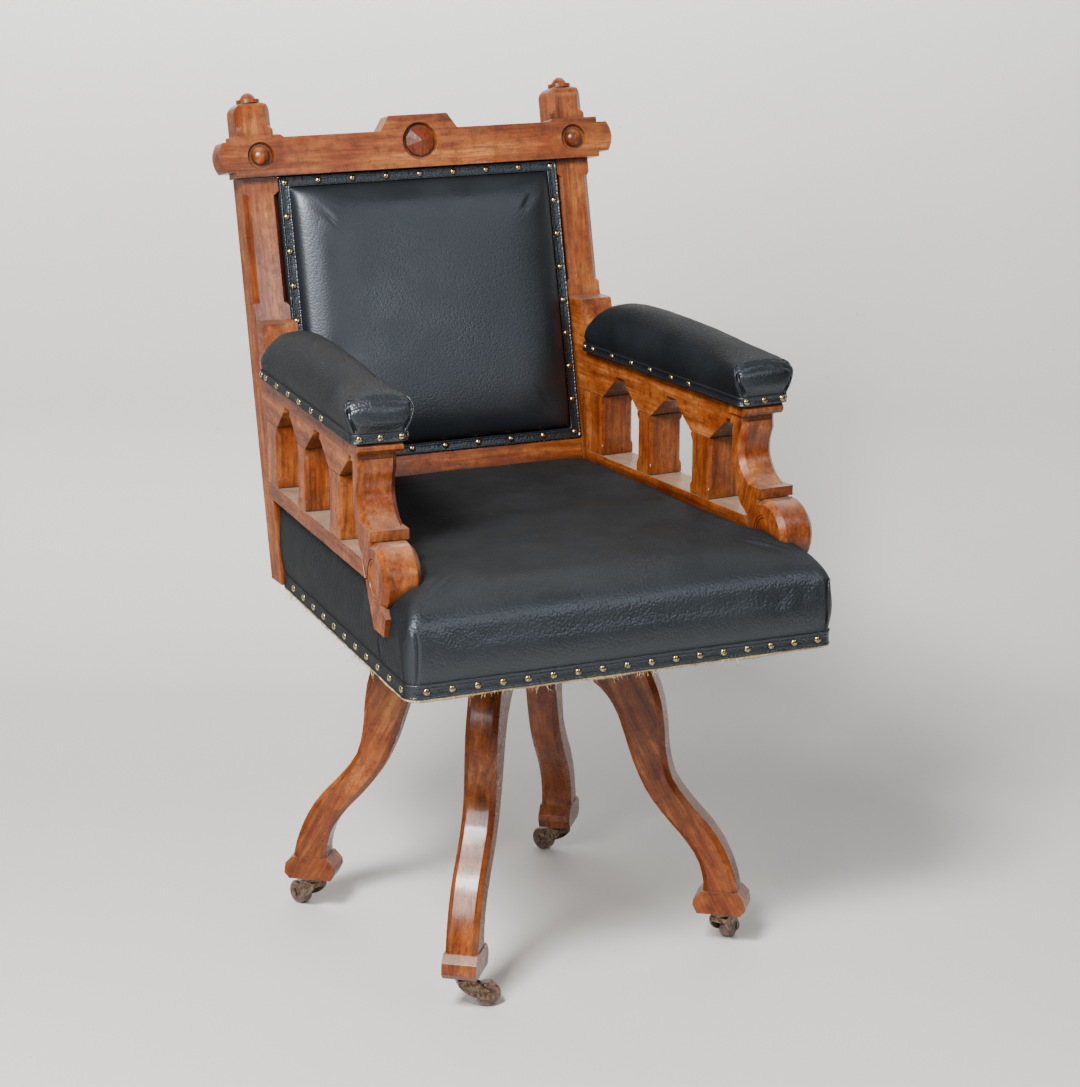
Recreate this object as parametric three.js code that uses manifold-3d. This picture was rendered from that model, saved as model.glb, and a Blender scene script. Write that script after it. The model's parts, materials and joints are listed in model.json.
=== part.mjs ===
// An oak swivel armchair: arcaded arms on scroll supports, stuffed seat, back and arm pads, and
// four cabriole-like legs on castors. Millimetres, +Z up, the sitter faces -Y.
import * as THREE from "three";
import { mergeVertices } from "three/addons/utils/BufferGeometryUtils.js";
import Module from "manifold-3d";

const wasm = await Module();
wasm.setup();

// Fits shared by all pieces
const CLEARANCE = 0.3;
const OVERRUN = 6;
const WELD = 0.001;
const ROUND_SEGMENTS = 24;

// Underside of the seat, from which the other heights are worked out
const SEAT_UNDERSIDE = 403;

// Base
const BASE_TURN_DEG = 7.8;
const LEG_ANGLES_DEG = { front: -135, left: 135, rear: 45, right: -45 };
const FOOT_UNDERSIDE = 43;
const SWIVEL_HEIGHT = 11;
const HUB_TOP = SEAT_UNDERSIDE - SWIVEL_HEIGHT;
const HUB_HEIGHT = 62;
const HUB_ACROSS_FLATS = 120;
const HUB_SIDES = 8;
const HUB_CHAMFER = 10;
const LEG_SPREAD = 222;
const LEG_THICKNESS = 38;
const LEG_CHAMFER = 6;
const FOOT_THICKNESS = 40;

// Swivel iron
const SPINDLE_RADIUS = 11;
const SPINDLE_HEAD_RADIUS = 16;
const SPINDLE_HEAD_HEIGHT = 5;
const SOCKET_WALL = 5;
const SOCKET_DEPTH = 50;
const SOCKET_FLANGE_RADIUS = 46;
const SOCKET_FLANGE_HEIGHT = 4;
const SPIDER_ARM_LENGTH = 112;
const SPIDER_ARM_WIDTH = 26;
const SPIDER_THICKNESS = 5;
const SPIDER_BOSS_RADIUS = 24;

// Castors
const WHEEL_RADIUS = 14.5;
const WHEEL_WIDTH = 15;
const WHEEL_EDGE = 2;
const AXLE_RADIUS = 3;
const AXLE_HEAD_RADIUS = 5;
const AXLE_HEAD_HEIGHT = 1.6;
const CASTOR_TRAIL = 26;
const CASTOR_TRAIL_DEG = { front: -11, left: 108.5, rear: 111, right: 41 };
const CHEEK_THICKNESS = 2.6;
const CHEEK_EYE_RADIUS = 6.5;
const WHEEL_SIDE_GAP = 0.8;
const NECK_RADIUS = 10;
const CROWN_HEIGHT = 9;
const CASTOR_PLATE_RADIUS = 17;
const CASTOR_PLATE_HEIGHT = 4;
const PIVOT_RADIUS = 4;
const PIVOT_HEAD_RADIUS = 6.5;
const PIVOT_HEAD_HEIGHT = 1.6;

// Seat
const SEAT_FRONT_Y = -297;
const SEAT_FRONT_HALF_WIDTH = 259;
const SEAT_CORNER_RADIUS = 16;
const SEAT_SIDE_HEIGHT = 62;
const SEAT_SHOULDER = SEAT_UNDERSIDE + SEAT_SIDE_HEIGHT;
const SEAT_DOME_RISE = 52;
const SEAT_CROWN = SEAT_SHOULDER + SEAT_DOME_RISE;
const SEAT_DOME_REACH = 120;
const SEAT_SIDE_REACH = 50;
const SEAT_DOME_SQUARENESS = 2.6;
const SEAT_SIDE_BULGE = 2.6;
const SKIRT_THICKNESS = 3;
const SEAT_BAND_HEIGHT = 17;
const BAND_THICKNESS = 2.2;
const SEAT_RAIL_THICKNESS = 26;
const SEAT_RAIL_HEIGHT = 55.4;
const SEAT_RAIL_TOP = SEAT_UNDERSIDE + SEAT_RAIL_HEIGHT;
const BEARER_WIDTH = 62;
const BEARER_THICKNESS = 28;
const BEARER_SPACING = 140;
const BOTTOM_CLOTH_THICKNESS = 1.5;
const BOTTOM_CLOTH_OPENING = 52;

// Back, measured along its own rake from the foot of the stiles
const RAKE_DEG = 13.5;
const STILE_FRONT_Y = 174.5;
const STILE_ABOVE_UNDERSIDE = 2;
const STILE_BOTTOM = SEAT_UNDERSIDE + STILE_ABOVE_UNDERSIDE;
const STILE_INNER = 182;
const STILE_WIDTH = 44;
const STILE_DEPTH = 34;
const STILE_SHOULDER = 572.8;
const STILE_SHOULDER_RADIUS = 13;
const STILE_CHAMFER = 7;
const STILE_CHAMFER_FROM = 330;
const STILE_CHAMFER_TO = 466;
const CHAMFER_STOP = 5;
const HEAD_CHAMFER_FROM = 539;
const COLLAR_RADIUS = 14;
const COLLAR_HEIGHT = 4;
const DOME_RADIUS = 10.3;
const DOME_HEIGHT = 8.4;
const LOWER_RAIL_FROM = 60;
const LOWER_RAIL_TO = 138.6;
const LOWER_RAIL_DEPTH = 28;
const REAR_RAIL_HEIGHT = 55;
const CREST_FROM = 483;
const CREST_HEIGHT = 45.6;
const CREST_STEP = 3.4;
const CREST_STEP_SLOPE = 5;
const CREST_PROUD = 12;
const CREST_THICKNESS = 27;
const CREST_BLOCK_HALF_WIDTH = 237;
const CREST_BLOCK_MARGIN = 4;
const TONGUE_LENGTH = 19;
const TONGUE_INSET = 6.5;
const TONGUE_BULGE = 6;
const TABLET_BASE_HALF_WIDTH = 50;
const TABLET_TOP_HALF_WIDTH = 38;
const TABLET_HEIGHT = 18;
const BUTTON_RADIUS = 11.3;
const BUTTON_HEIGHT = 8.6;
const BUTTON_RECESS_RADIUS = 16.5;
const BUTTON_RECESS_DEPTH = 4;
const ROSETTE_RADIUS = 18.6;
const ROSETTE_RIM = 3;
const ROSETTE_HEIGHT = 11;
const ROSETTE_FACETS = 10;
const ROSETTE_RECESS_RADIUS = 22.5;
const ROSETTE_RECESS_DEPTH = 5;
const ROSETTE_ABOVE_CREST_FOOT = 31.5;
const BACK_PAD_DEPTH = 25;
const BACK_PAD_CROWN = 24;
const BACK_PAD_SHOULDER = 80;
const BACK_PAD_CORNER_RADIUS = 5;
const BACK_BAND_WIDTH = 13.5;
const OUTSIDE_BACK_THICKNESS = 5;

// Arms, in a frame that turns with the splay, measured from the swivel axis along the arm
const ARM_SPLAY_DEG = 4.1;
const ARM_OUT_OF_STILE = 18.2;
const ARM_HALF_SPREAD = STILE_INNER + STILE_WIDTH / 2 + ARM_OUT_OF_STILE;
const ARM_WIDTH = 44;
const SILL_RISE = 123;
const SILL = SEAT_UNDERSIDE + SILL_RISE;
const SILL_RAIL_HEIGHT = 19;
const ARCADE_HEIGHT = 126.5;
const ARM_RAIL_TOP = SILL + ARCADE_HEIGHT;
const ARCH_SPRING_DROP = 52.5;
const ARCH_SPRING = ARM_RAIL_TOP - ARCH_SPRING_DROP;
const ARCH_HAUNCH_DROP = 28.5;
const ARCH_HAUNCH = ARM_RAIL_TOP - ARCH_HAUNCH_DROP;
const ARCH_APEX_DROP = 21.5;
const ARCH_APEX = ARM_RAIL_TOP - ARCH_APEX_DROP;
const ARCH_HAUNCH_HALF_WIDTH = 14;
const ARCH_APEX_HALF_WIDTH = 11;
const REAR_POST_FROM = 163;
const MIDDLE_POST = [48, 80];
const FRONT_POST = [-84, -43];
const POST_CHAMFER = 4;
const SCROLL_BACK = -128;
const HEEL_RISE = 58.5;
const HEEL_TOP = ARM_RAIL_TOP + HEEL_RISE;
const HEEL_TOP_FROM = 221;
const HEEL_FOOT_FROM = 203;
const ARM_REACH_BACK = 300;
const CAP_FRONT = -165;
const CAP_WIDTH = 52;
const CAP_HEIGHT = 11.5;
const CAP_NOSE = 4;
const CAP_LENGTH = 34;
const BLOCK_SET_BACK = 9;
const BLOCK_HEIGHT = 13.5;
const BLOCK_CHAMFER = 5;
const SCROLL_CHAMFER = 6;
const SCROLL_CENTRE_Y = -204;
const SCROLL_CENTRE_DROP = 12;
const SCROLL_CENTRE_Z = SILL - SCROLL_CENTRE_DROP;
const SCROLL_RADIUS = 38.5;
const SCROLL_START_DEG = 73.4;
const SCROLL_END_DEG = 310;
const SCROLL_COLLAR_Y = -194.5;
const SCROLL_COLLAR_LENGTH = 24;
const SCROLL_COLLAR_RISE = 37.5;
const SCROLL_COLLAR_TOP = SILL + SCROLL_COLLAR_RISE;
const SCROLL_COLLAR_HEIGHT = 11.5;
const TIP_Y = -240;
const TIP_LENGTH = 36;
const TIP_LEAN = 5;
const TIP_SHOULDER = 21;
const ROUNDEL_RADIUS = 21.5;
const ROUNDEL_RECESS_DEPTH = 4;
const ROUNDEL_THICKNESS = 3;
const ROUNDEL_RIM = 3;
const ROUNDEL_SINK = 1.2;
const ROUNDEL_EYE_RADIUS = 1.5;
const ARM_PAD_FRONT = -167;
const ARM_PAD_REAR = 200;
const ARM_PAD_HALF_WIDTH = 31;
const ARM_PAD_CORNER_RADIUS = 7;
const ARM_PAD_RISE = 59;
const ARM_BAND_HEIGHT = 11;

// Materials, as colour, roughness and metalness
const FINISHES = {
  oak: [0xa9653a, 0.42, 0],
  darkOak: [0x7a4326, 0.38, 0],
  hiddenWood: [0x9a7650, 0.75, 0],
  leather: [0x1b1d20, 0.5, 0],
  iron: [0x4d443d, 0.55, 0.8],
  brass: [0x8a7352, 0.45, 0.85],
  ceramic: [0x4a2e28, 0.35, 0],
  hessian: [0x8c7a5a, 0.95, 0],
};

// Outline of a leg: each point is [share of the spread, share of the rise from foot to hub].
const legOuterShares = [
  [0.306, 1], [0.4, 0.935], [0.468, 0.837], [0.522, 0.745], [0.545, 0.65], [0.556, 0.56],
  [0.595, 0.464], [0.698, 0.376], [0.806, 0.301], [0.883, 0.221], [0.932, 0.14], [0.955, 0.072],
];
const legInnerShares = [
  [0.764, 0.072], [0.766, 0.115], [0.734, 0.186], [0.658, 0.258], [0.545, 0.338], [0.45, 0.421],
  [0.378, 0.521], [0.333, 0.607], [0.284, 0.693], [0.212, 0.76], [0.108, 0.808], [0, 0.828],
];
const footShares = [
  [0.955, 0.08], [0.993, 0.056], [1, 0.02], [0.973, 0], [0.739, 0], [0.716, 0.03], [0.72, 0.05],
  [0.762, 0.08],
];

// Neck of a scroll support, as shares of its drop from the rail and of its depth front to back.
const neckFrontShares = [
  [0.262, 0.036], [0.21, 0.141], [0.218, 0.247], [0.323, 0.352], [0.463, 0.414], [0.568, 0.475],
];
const neckBackShares = [
  [0.42, 0.8], [0.306, 0.681], [0.166, 0.6], [0.073, 0.449], [0, 0.26], [0, 0],
];

// Arm pad, front to rear: [share of the length, shares of the half width in the band and above it,
// share of the rise].
const armPadStationShares = [
  [0, 0.75, 0.86, 0.63], [0.006, 0.93, 1.02, 0.67], [0.02, 1, 1.08, 0.7], [0.1, 1, 1.03, 0.76],
  [0.22, 1, 1, 0.82], [0.35, 1, 1, 0.88], [0.5, 1, 1, 0.94], [0.64, 1, 1, 0.99], [0.76, 1, 1, 1],
  [0.84, 1, 1, 0.96], [0.9, 1, 1, 0.86], [0.95, 0.99, 0.99, 0.7], [0.98, 0.96, 0.96, 0.5],
  [0.994, 0.88, 0.88, 0.33], [1, 0.75, 0.75, 0.2],
];

// Half of its section from the crest down: [share of the half width, share of the rise].
const armPadSectionShares = [
  [0, 1], [0.3, 0.985], [0.58, 0.92], [0.82, 0.79], [1, 0.6], [1.1, 0.36], [1.08, 0.14], [1, 0],
];

// Rings of the two larger stuffed pieces, as shares of the width of their rounded borders.
const seatRingShares = [0.015, 0.05, 0.1, 0.17, 0.26, 0.4, 0.6, 0.85, 1.2, 1.6];
const backRingShares = [0.04, 0.1, 0.2, 0.35, 0.55, 0.8, 1.1, 1.5];

const radians = THREE.MathUtils.degToRad;
const rakeCosine = Math.cos(radians(RAKE_DEG));
const rakeSine = Math.sin(radians(RAKE_DEG));
const splayTangent = Math.tan(radians(ARM_SPLAY_DEG));
const stileOuter = STILE_INNER + STILE_WIDTH;
const stileCentre = STILE_INNER + STILE_WIDTH / 2;

// Finished object: its footprint is centred on the origin.
const frontExtent = SEAT_FRONT_Y;
const rearExtent = STILE_FRONT_Y + STILE_SHOULDER * rakeSine + STILE_DEPTH * rakeCosine;
const chair = new THREE.Group();
chair.position.y = -(frontExtent + rearExtent) / 2;

const base = new THREE.Group();
base.rotation.z = radians(BASE_TURN_DEG);
chair.add(base);

const back = new THREE.Group();
back.position.set(0, STILE_FRONT_Y, STILE_BOTTOM);
back.rotation.x = -radians(RAKE_DEG);
chair.add(back);

// Solids from three.js geometry, and back
function solid(geometry) {
  const bare = geometry.index ? geometry.toNonIndexed() : geometry.clone();
  bare.deleteAttribute("normal");
  bare.deleteAttribute("uv");
  const welded = mergeVertices(bare, WELD);
  const triVerts = new Uint32Array(welded.index.array);
  const vertProperties = welded.attributes.position.array;
  return new wasm.Manifold(new wasm.Mesh({ numProp: 3, vertProperties, triVerts }));
}

function geometryOf(manifold) {
  const mesh = manifold.getMesh();
  const geometry = new THREE.BufferGeometry();
  geometry.setAttribute("position", new THREE.BufferAttribute(mesh.vertProperties, 3));
  geometry.setIndex(new THREE.BufferAttribute(mesh.triVerts, 1));
  const flat = geometry.toNonIndexed();
  flat.computeVertexNormals();
  return flat;
}

function add(parent, name, manifold, finish) {
  const [color, roughness, metalness] = FINISHES[finish];
  const material = new THREE.MeshStandardMaterial({ color, roughness, metalness });
  const mesh = new THREE.Mesh(geometryOf(manifold), material);
  mesh.name = name;
  parent.add(mesh);
  return mesh;
}

function inFrameOf(group, manifold) {
  chair.updateMatrixWorld(true);
  const toGroup = group.matrixWorld.clone().invert().multiply(chair.matrixWorld);
  return manifold.transform(toGroup.elements);
}

function mirrored(side, value) {
  return side === "left" ? -value : value;
}

// Extrusions: "side" draws (y, z) and runs along x, "front" draws (x, z) and runs along y,
// "plan" draws (x, y) and runs up z. Each is centred or starts at a named place.
const PLANES = {
  side: new THREE.Matrix4().makeBasis(
    new THREE.Vector3(0, 1, 0), new THREE.Vector3(0, 0, 1), new THREE.Vector3(1, 0, 0)),
  front: new THREE.Matrix4().makeBasis(
    new THREE.Vector3(1, 0, 0), new THREE.Vector3(0, 0, 1), new THREE.Vector3(0, -1, 0)),
  plan: new THREE.Matrix4(),
};

function extrude(plane, shape, from, to, { chamfer = 0, grow = 0, segments = 2 } = {}) {
  const bevel = chamfer || grow;
  const depth = plane === "front" ? { low: -to, high: -from } : { low: from, high: to };
  const geometry = new THREE.ExtrudeGeometry(shape, {
    depth: depth.high - depth.low - 2 * chamfer,
    curveSegments: segments,
    bevelEnabled: bevel > 0,
    bevelSegments: 1,
    bevelThickness: bevel,
    bevelSize: bevel,
    bevelOffset: -chamfer,
  });
  geometry.translate(0, 0, depth.low + chamfer);
  geometry.applyMatrix4(PLANES[plane]);
  return solid(geometry);
}

function polygon(points) {
  return new THREE.Shape(points.map(([u, v]) => new THREE.Vector2(u, v)));
}

function box(x, y, z) {
  const geometry = new THREE.BoxGeometry(x[1] - x[0], y[1] - y[0], z[1] - z[0]);
  geometry.translate((x[0] + x[1]) / 2, (y[0] + y[1]) / 2, (z[0] + z[1]) / 2);
  return solid(geometry);
}

function turned(profile, segments = ROUND_SEGMENTS) {
  const points = profile.map(([r, z]) => new THREE.Vector2(r, z));
  const geometry = new THREE.LatheGeometry(points, segments);
  geometry.rotateX(Math.PI / 2);
  return solid(geometry);
}

function rod(radius, low, high) {
  return turned([[0, low], [radius, low], [radius, high], [0, high]]);
}

function dome(radius, low, height, steps = 5) {
  const profile = [[0, low]];
  for (let i = 0; i <= steps; i += 1) {
    const angle = (i / steps) * (Math.PI / 2);
    profile.push([radius * Math.cos(angle), low + height * Math.sin(angle)]);
  }
  profile[profile.length - 1][0] = 0;
  return turned(profile);
}

// A chamfer along an upright arris at (x, y) that faces the direction angleDeg, stopped at both ends.
function stoppedChamfer(x, y, angleDeg, from, to, leg, stop) {
  const depth = leg / Math.SQRT2;
  const outline = polygon([
    [depth, from - leg], [depth, to + leg], [0, to + leg], [0, to], [-depth, to - stop],
    [-depth, from + stop], [0, from], [0, from - leg],
  ]);
  const cutter = extrude("front", outline, -leg * 2, leg * 2);
  return cutter.rotate([0, 0, angleDeg]).translate([x, y, 0]);
}

// A closed form from rings of points stacked one after another, with a flat fan at each end.
function stacked(rings) {
  const count = rings[0].length;
  const positions = rings.flat(2);
  const index = [];
  for (let level = 0; level < rings.length - 1; level += 1) {
    for (let i = 0; i < count; i += 1) {
      const a = level * count + i;
      const b = level * count + ((i + 1) % count);
      index.push(a, b, b + count, a, b + count, a + count);
    }
  }
  const lastRing = rings.length - 1;
  for (const level of [0, lastRing]) {
    const centre = positions.length / 3;
    positions.push(...[0, 1, 2].map((k) => rings[level].reduce((sum, p) => sum + p[k], 0) / count));
    for (let i = 0; i < count; i += 1) {
      const here = level * count + i;
      const next = level * count + ((i + 1) % count);
      index.push(centre, ...(level === 0 ? [next, here] : [here, next]));
    }
  }
  const geometry = new THREE.BufferGeometry();
  geometry.setAttribute("position", new THREE.Float32BufferAttribute(positions, 3));
  geometry.setIndex(index);
  return solid(geometry);
}

// Outlines stacked up z: each level is [inset, height as a function of the place].
function stuffed(outline, levels) {
  return stacked(levels.map(([inset, height]) => outline(inset).map(([x, y]) => [x, y, height(x, y)])));
}

// How far a stuffed surface has risen at a distance inside its edge, from 0 to 1.
function rounded(distance, reach, squareness) {
  const inward = THREE.MathUtils.clamp(distance / reach, 0, 1);
  return (1 - (1 - inward) ** squareness) ** (1 / squareness);
}

function blended(riseX, riseY) {
  return Math.max(0, 1 - Math.hypot(1 - riseX, 1 - riseY));
}

// A rounded trapezoid, counter-clockwise, as points that keep their number at every inset.
function trapezoid({ nearHalf, farHalf, near, far, radius, cornerSteps, sideSteps }) {
  return (inset) => {
    const slope = (farHalf - nearHalf) / (far - near);
    const half = (y) => nearHalf + slope * (y - near) - inset;
    const y0 = near + inset;
    const y1 = far - inset;
    const r = Math.max(radius - inset / 2, radius / 2);
    const corners = [
      [half(y1) - r, y1 - r, 0], [-half(y1) + r, y1 - r, 1],
      [-half(y0) + r, y0 + r, 2], [half(y0) - r, y0 + r, 3],
    ];
    const points = [];
    corners.forEach(([x, y, quarter], k) => {
      for (let i = 0; i <= cornerSteps; i += 1) {
        const angle = (quarter + i / cornerSteps) * (Math.PI / 2);
        points.push([x + r * Math.cos(angle), y + r * Math.sin(angle)]);
      }
      const [nextX, nextY, nextQuarter] = corners[(k + 1) % corners.length];
      const startAngle = nextQuarter * (Math.PI / 2);
      const next = [nextX + r * Math.cos(startAngle), nextY + r * Math.sin(startAngle)];
      const last = points[points.length - 1];
      for (let i = 1; i < sideSteps; i += 1) {
        const t = i / sideSteps;
        points.push([last[0] + (next[0] - last[0]) * t, last[1] + (next[1] - last[1]) * t]);
      }
    });
    return points;
  };
}

// Everything behind the front faces of the stiles, less the clearance, in the frame of the chair.
function behindStileFaces() {
  const reach = STILE_SHOULDER * 2;
  const slab = box([-reach, reach], [-CLEARANCE, reach], [-reach, reach]);
  return slab.rotate([-RAKE_DEG, 0, 0]).translate([0, STILE_FRONT_Y, STILE_BOTTOM]);
}

// Base: four legs on an eight-sided hub
const legRise = HUB_TOP - FOOT_UNDERSIDE;
const hubApothem = HUB_ACROSS_FLATS / 2;

function legPoint([spreadShare, riseShare]) {
  return new THREE.Vector2(hubApothem + spreadShare * LEG_SPREAD, FOOT_UNDERSIDE + riseShare * legRise);
}

function leg() {
  const outer = legOuterShares.map(legPoint);
  const inner = legInnerShares.map(legPoint);
  const shape = new THREE.Shape();
  shape.moveTo(hubApothem - LEG_CHAMFER * 2, HUB_TOP);
  shape.lineTo(outer[0].x, outer[0].y);
  shape.splineThru(outer.slice(1));
  shape.lineTo(outer[outer.length - 1].x, outer[outer.length - 1].y - LEG_CHAMFER * 2);
  shape.lineTo(inner[0].x, inner[0].y - LEG_CHAMFER * 2);
  shape.lineTo(inner[0].x, inner[0].y);
  shape.splineThru(inner.slice(1));
  shape.lineTo(hubApothem - LEG_CHAMFER * 2, inner[inner.length - 1].y);
  shape.closePath();
  const half = LEG_THICKNESS / 2;
  const limb = extrude("front", shape, -half, half, { chamfer: LEG_CHAMFER });
  const footHalf = FOOT_THICKNESS / 2;
  const foot = extrude("front", polygon(footShares.map((p) => legPoint(p).toArray())), -footHalf, footHalf);
  const reach = LEG_THICKNESS;
  const hubSide = box([-reach, hubApothem + CLEARANCE], [-reach, reach], [0, HUB_TOP + OVERRUN]);
  const floorSide = box([0, hubApothem * 2 + LEG_SPREAD], [-reach, reach], [0, FOOT_UNDERSIDE]);
  return limb.add(foot).subtract(hubSide).subtract(floorSide);
}

function hub() {
  const corner = hubApothem / Math.cos(Math.PI / HUB_SIDES);
  const bottom = HUB_TOP - HUB_HEIGHT;
  const block = turned([
    [0, bottom], [corner - HUB_CHAMFER, bottom], [corner, bottom + HUB_CHAMFER], [corner, HUB_TOP],
    [0, HUB_TOP],
  ], HUB_SIDES);
  const bore = rod(SPINDLE_RADIUS + CLEARANCE + SOCKET_WALL + CLEARANCE, bottom - OVERRUN, HUB_TOP + OVERRUN);
  return block.rotate([0, 0, 180 / HUB_SIDES]).subtract(bore);
}

// Castors: plate under the foot, horn that swivels in it, wheel on a riveted axle
const plateUnderside = FOOT_UNDERSIDE - CLEARANCE - CASTOR_PLATE_HEIGHT;
const cheekInner = WHEEL_WIDTH / 2 + WHEEL_SIDE_GAP;
const cheekOuter = cheekInner + CHEEK_THICKNESS;
const crownTop = plateUnderside - CLEARANCE;

function castorPlate() {
  const low = plateUnderside;
  const high = low + CASTOR_PLATE_HEIGHT;
  const ledge = high - PIVOT_HEAD_HEIGHT - CLEARANCE * 2;
  const bore = PIVOT_RADIUS + CLEARANCE;
  const counterbore = PIVOT_HEAD_RADIUS + CLEARANCE;
  return turned([
    [bore, low], [CASTOR_PLATE_RADIUS - WHEEL_EDGE, low], [CASTOR_PLATE_RADIUS, low + WHEEL_EDGE],
    [CASTOR_PLATE_RADIUS, high], [counterbore, high], [counterbore, ledge], [bore, ledge], [bore, low],
  ]);
}

function castorHorn() {
  const headLow = plateUnderside + CASTOR_PLATE_HEIGHT - PIVOT_HEAD_HEIGHT - CLEARANCE;
  const pivot = rod(PIVOT_RADIUS, crownTop - CROWN_HEIGHT / 2, headLow + PIVOT_HEAD_HEIGHT / 2);
  const head = rod(PIVOT_HEAD_RADIUS, headLow, headLow + PIVOT_HEAD_HEIGHT);
  const crown = rod(NECK_RADIUS, crownTop - CROWN_HEIGHT, crownTop);
  const crownLow = crownTop - CROWN_HEIGHT;
  const eye = CHEEK_EYE_RADIUS;
  const cheek = new THREE.Shape();
  cheek.moveTo(-NECK_RADIUS, crownTop - CROWN_HEIGHT / 3);
  cheek.lineTo(-NECK_RADIUS, crownLow);
  cheek.quadraticCurveTo(0, WHEEL_RADIUS, CASTOR_TRAIL, WHEEL_RADIUS - eye);
  cheek.absarc(CASTOR_TRAIL, WHEEL_RADIUS, eye, -Math.PI / 2, Math.PI / 2, false);
  cheek.quadraticCurveTo(CASTOR_TRAIL / 2, crownLow, NECK_RADIUS, crownTop - CROWN_HEIGHT / 3);
  cheek.closePath();
  const forks = [[-cheekOuter, -cheekInner], [cheekInner, cheekOuter]].map(([from, to]) =>
    extrude("front", cheek, from, to, { segments: 6 }));
  const bridgeTop = crownTop - CROWN_HEIGHT / 3;
  const bridge = box([-NECK_RADIUS, NECK_RADIUS], [-cheekOuter, cheekOuter], [crownLow, bridgeTop]);
  const wheelSpace = solid(new THREE.CylinderGeometry(
    WHEEL_RADIUS + WHEEL_SIDE_GAP, WHEEL_RADIUS + WHEEL_SIDE_GAP, cheekInner * 2, ROUND_SEGMENTS,
  )).translate([CASTOR_TRAIL, 0, WHEEL_RADIUS]);
  const axleHalf = cheekOuter + AXLE_HEAD_HEIGHT;
  const axle = solid(new THREE.CylinderGeometry(AXLE_RADIUS, AXLE_RADIUS, axleHalf * 2, ROUND_SEGMENTS / 2))
    .translate([CASTOR_TRAIL, 0, WHEEL_RADIUS]);
  const rivetLength = AXLE_HEAD_HEIGHT * 2;
  const rivets = [-cheekOuter, cheekOuter].map((y) =>
    solid(new THREE.CylinderGeometry(AXLE_HEAD_RADIUS, AXLE_HEAD_RADIUS, rivetLength, ROUND_SEGMENTS / 2))
      .translate([CASTOR_TRAIL, y, WHEEL_RADIUS]));
  return forks[0].add(forks[1]).add(bridge).add(crown).subtract(wheelSpace)
    .add(pivot).add(head).add(axle)
    .add(rivets[0].subtract(wheelSpace)).add(rivets[1].subtract(wheelSpace));
}

function castorWheel() {
  const half = WHEEL_WIDTH / 2;
  const bore = AXLE_RADIUS + CLEARANCE;
  const shoulder = half - WHEEL_EDGE;
  return turned([
    [bore, -half], [WHEEL_RADIUS - WHEEL_EDGE, -half], [WHEEL_RADIUS, -shoulder],
    [WHEEL_RADIUS, shoulder], [WHEEL_RADIUS - WHEEL_EDGE, half], [bore, half], [bore, -half],
  ]).rotate([90, 0, 0]);
}

add(base, "hub_block", hub(), "oak");
const footCentreShare = (footShares[3][0] + footShares[4][0]) / 2;
for (const [place, angle] of Object.entries(LEG_ANGLES_DEG)) {
  const limb = new THREE.Group();
  limb.rotation.z = radians(angle);
  base.add(limb);
  add(limb, `leg_${place}`, leg(), "oak");

  const castor = new THREE.Group();
  castor.position.x = hubApothem + footCentreShare * LEG_SPREAD;
  castor.rotation.z = radians(CASTOR_TRAIL_DEG[place] - angle - BASE_TURN_DEG);
  limb.add(castor);
  add(castor, `castor_plate_${place}`, castorPlate(), "brass");
  add(castor, `castor_horn_${place}`, castorHorn(), "brass");
  const wheel = add(castor, `castor_wheel_${place}`, castorWheel(), "ceramic");
  wheel.position.set(CASTOR_TRAIL, 0, WHEEL_RADIUS);
}

// Swivel iron: socket in the hub, spindle and spider under the seat
const flangeTop = HUB_TOP + CLEARANCE + SOCKET_FLANGE_HEIGHT;
const frameUnderside = SEAT_UNDERSIDE + BOTTOM_CLOTH_THICKNESS + CLEARANCE;
const spiderTop = SEAT_UNDERSIDE - CLEARANCE;
const spindleBore = SPINDLE_RADIUS + CLEARANCE;
const socketOuter = spindleBore + SOCKET_WALL;

add(base, "swivel_socket", turned([
  [spindleBore, HUB_TOP - SOCKET_DEPTH], [socketOuter, HUB_TOP - SOCKET_DEPTH],
  [socketOuter, HUB_TOP + CLEARANCE], [SOCKET_FLANGE_RADIUS, HUB_TOP + CLEARANCE],
  [SOCKET_FLANGE_RADIUS, flangeTop], [spindleBore, flangeTop],
  [spindleBore, HUB_TOP - SOCKET_DEPTH],
]), "iron");

function spider() {
  const low = spiderTop - SPIDER_THICKNESS;
  const halfWidth = SPIDER_ARM_WIDTH / 2;
  const barA = box([-SPIDER_ARM_LENGTH, SPIDER_ARM_LENGTH], [-halfWidth, halfWidth], [low, spiderTop]);
  const barB = barA.rotate([0, 0, 90]);
  const boss = rod(SPIDER_BOSS_RADIUS, flangeTop + CLEARANCE, spiderTop);
  const bore = rod(spindleBore, low - OVERRUN, spiderTop + OVERRUN);
  return barA.add(barB).add(boss).rotate([0, 0, 45]).subtract(bore);
}
add(chair, "swivel_spider", spider(), "iron");
add(chair, "swivel_spindle", rod(SPINDLE_RADIUS, HUB_TOP - SOCKET_DEPTH, spiderTop + CLEARANCE)
  .add(rod(SPINDLE_HEAD_RADIUS, spiderTop + CLEARANCE, spiderTop + CLEARANCE + SPINDLE_HEAD_HEIGHT)), "iron");

// Seat frame, bearers and the cloth that closes it underneath
const seatSlope = -splayTangent;
const seatRearY = STILE_FRONT_Y + (SEAT_CROWN - STILE_BOTTOM) * Math.tan(radians(RAKE_DEG)) * 2;
const skinInset = BAND_THICKNESS + CLEARANCE;
const frameInset = skinInset + SKIRT_THICKNESS;

function seatHalfWidth(y) {
  return SEAT_FRONT_HALF_WIDTH + seatSlope * (y - SEAT_FRONT_Y);
}

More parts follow.
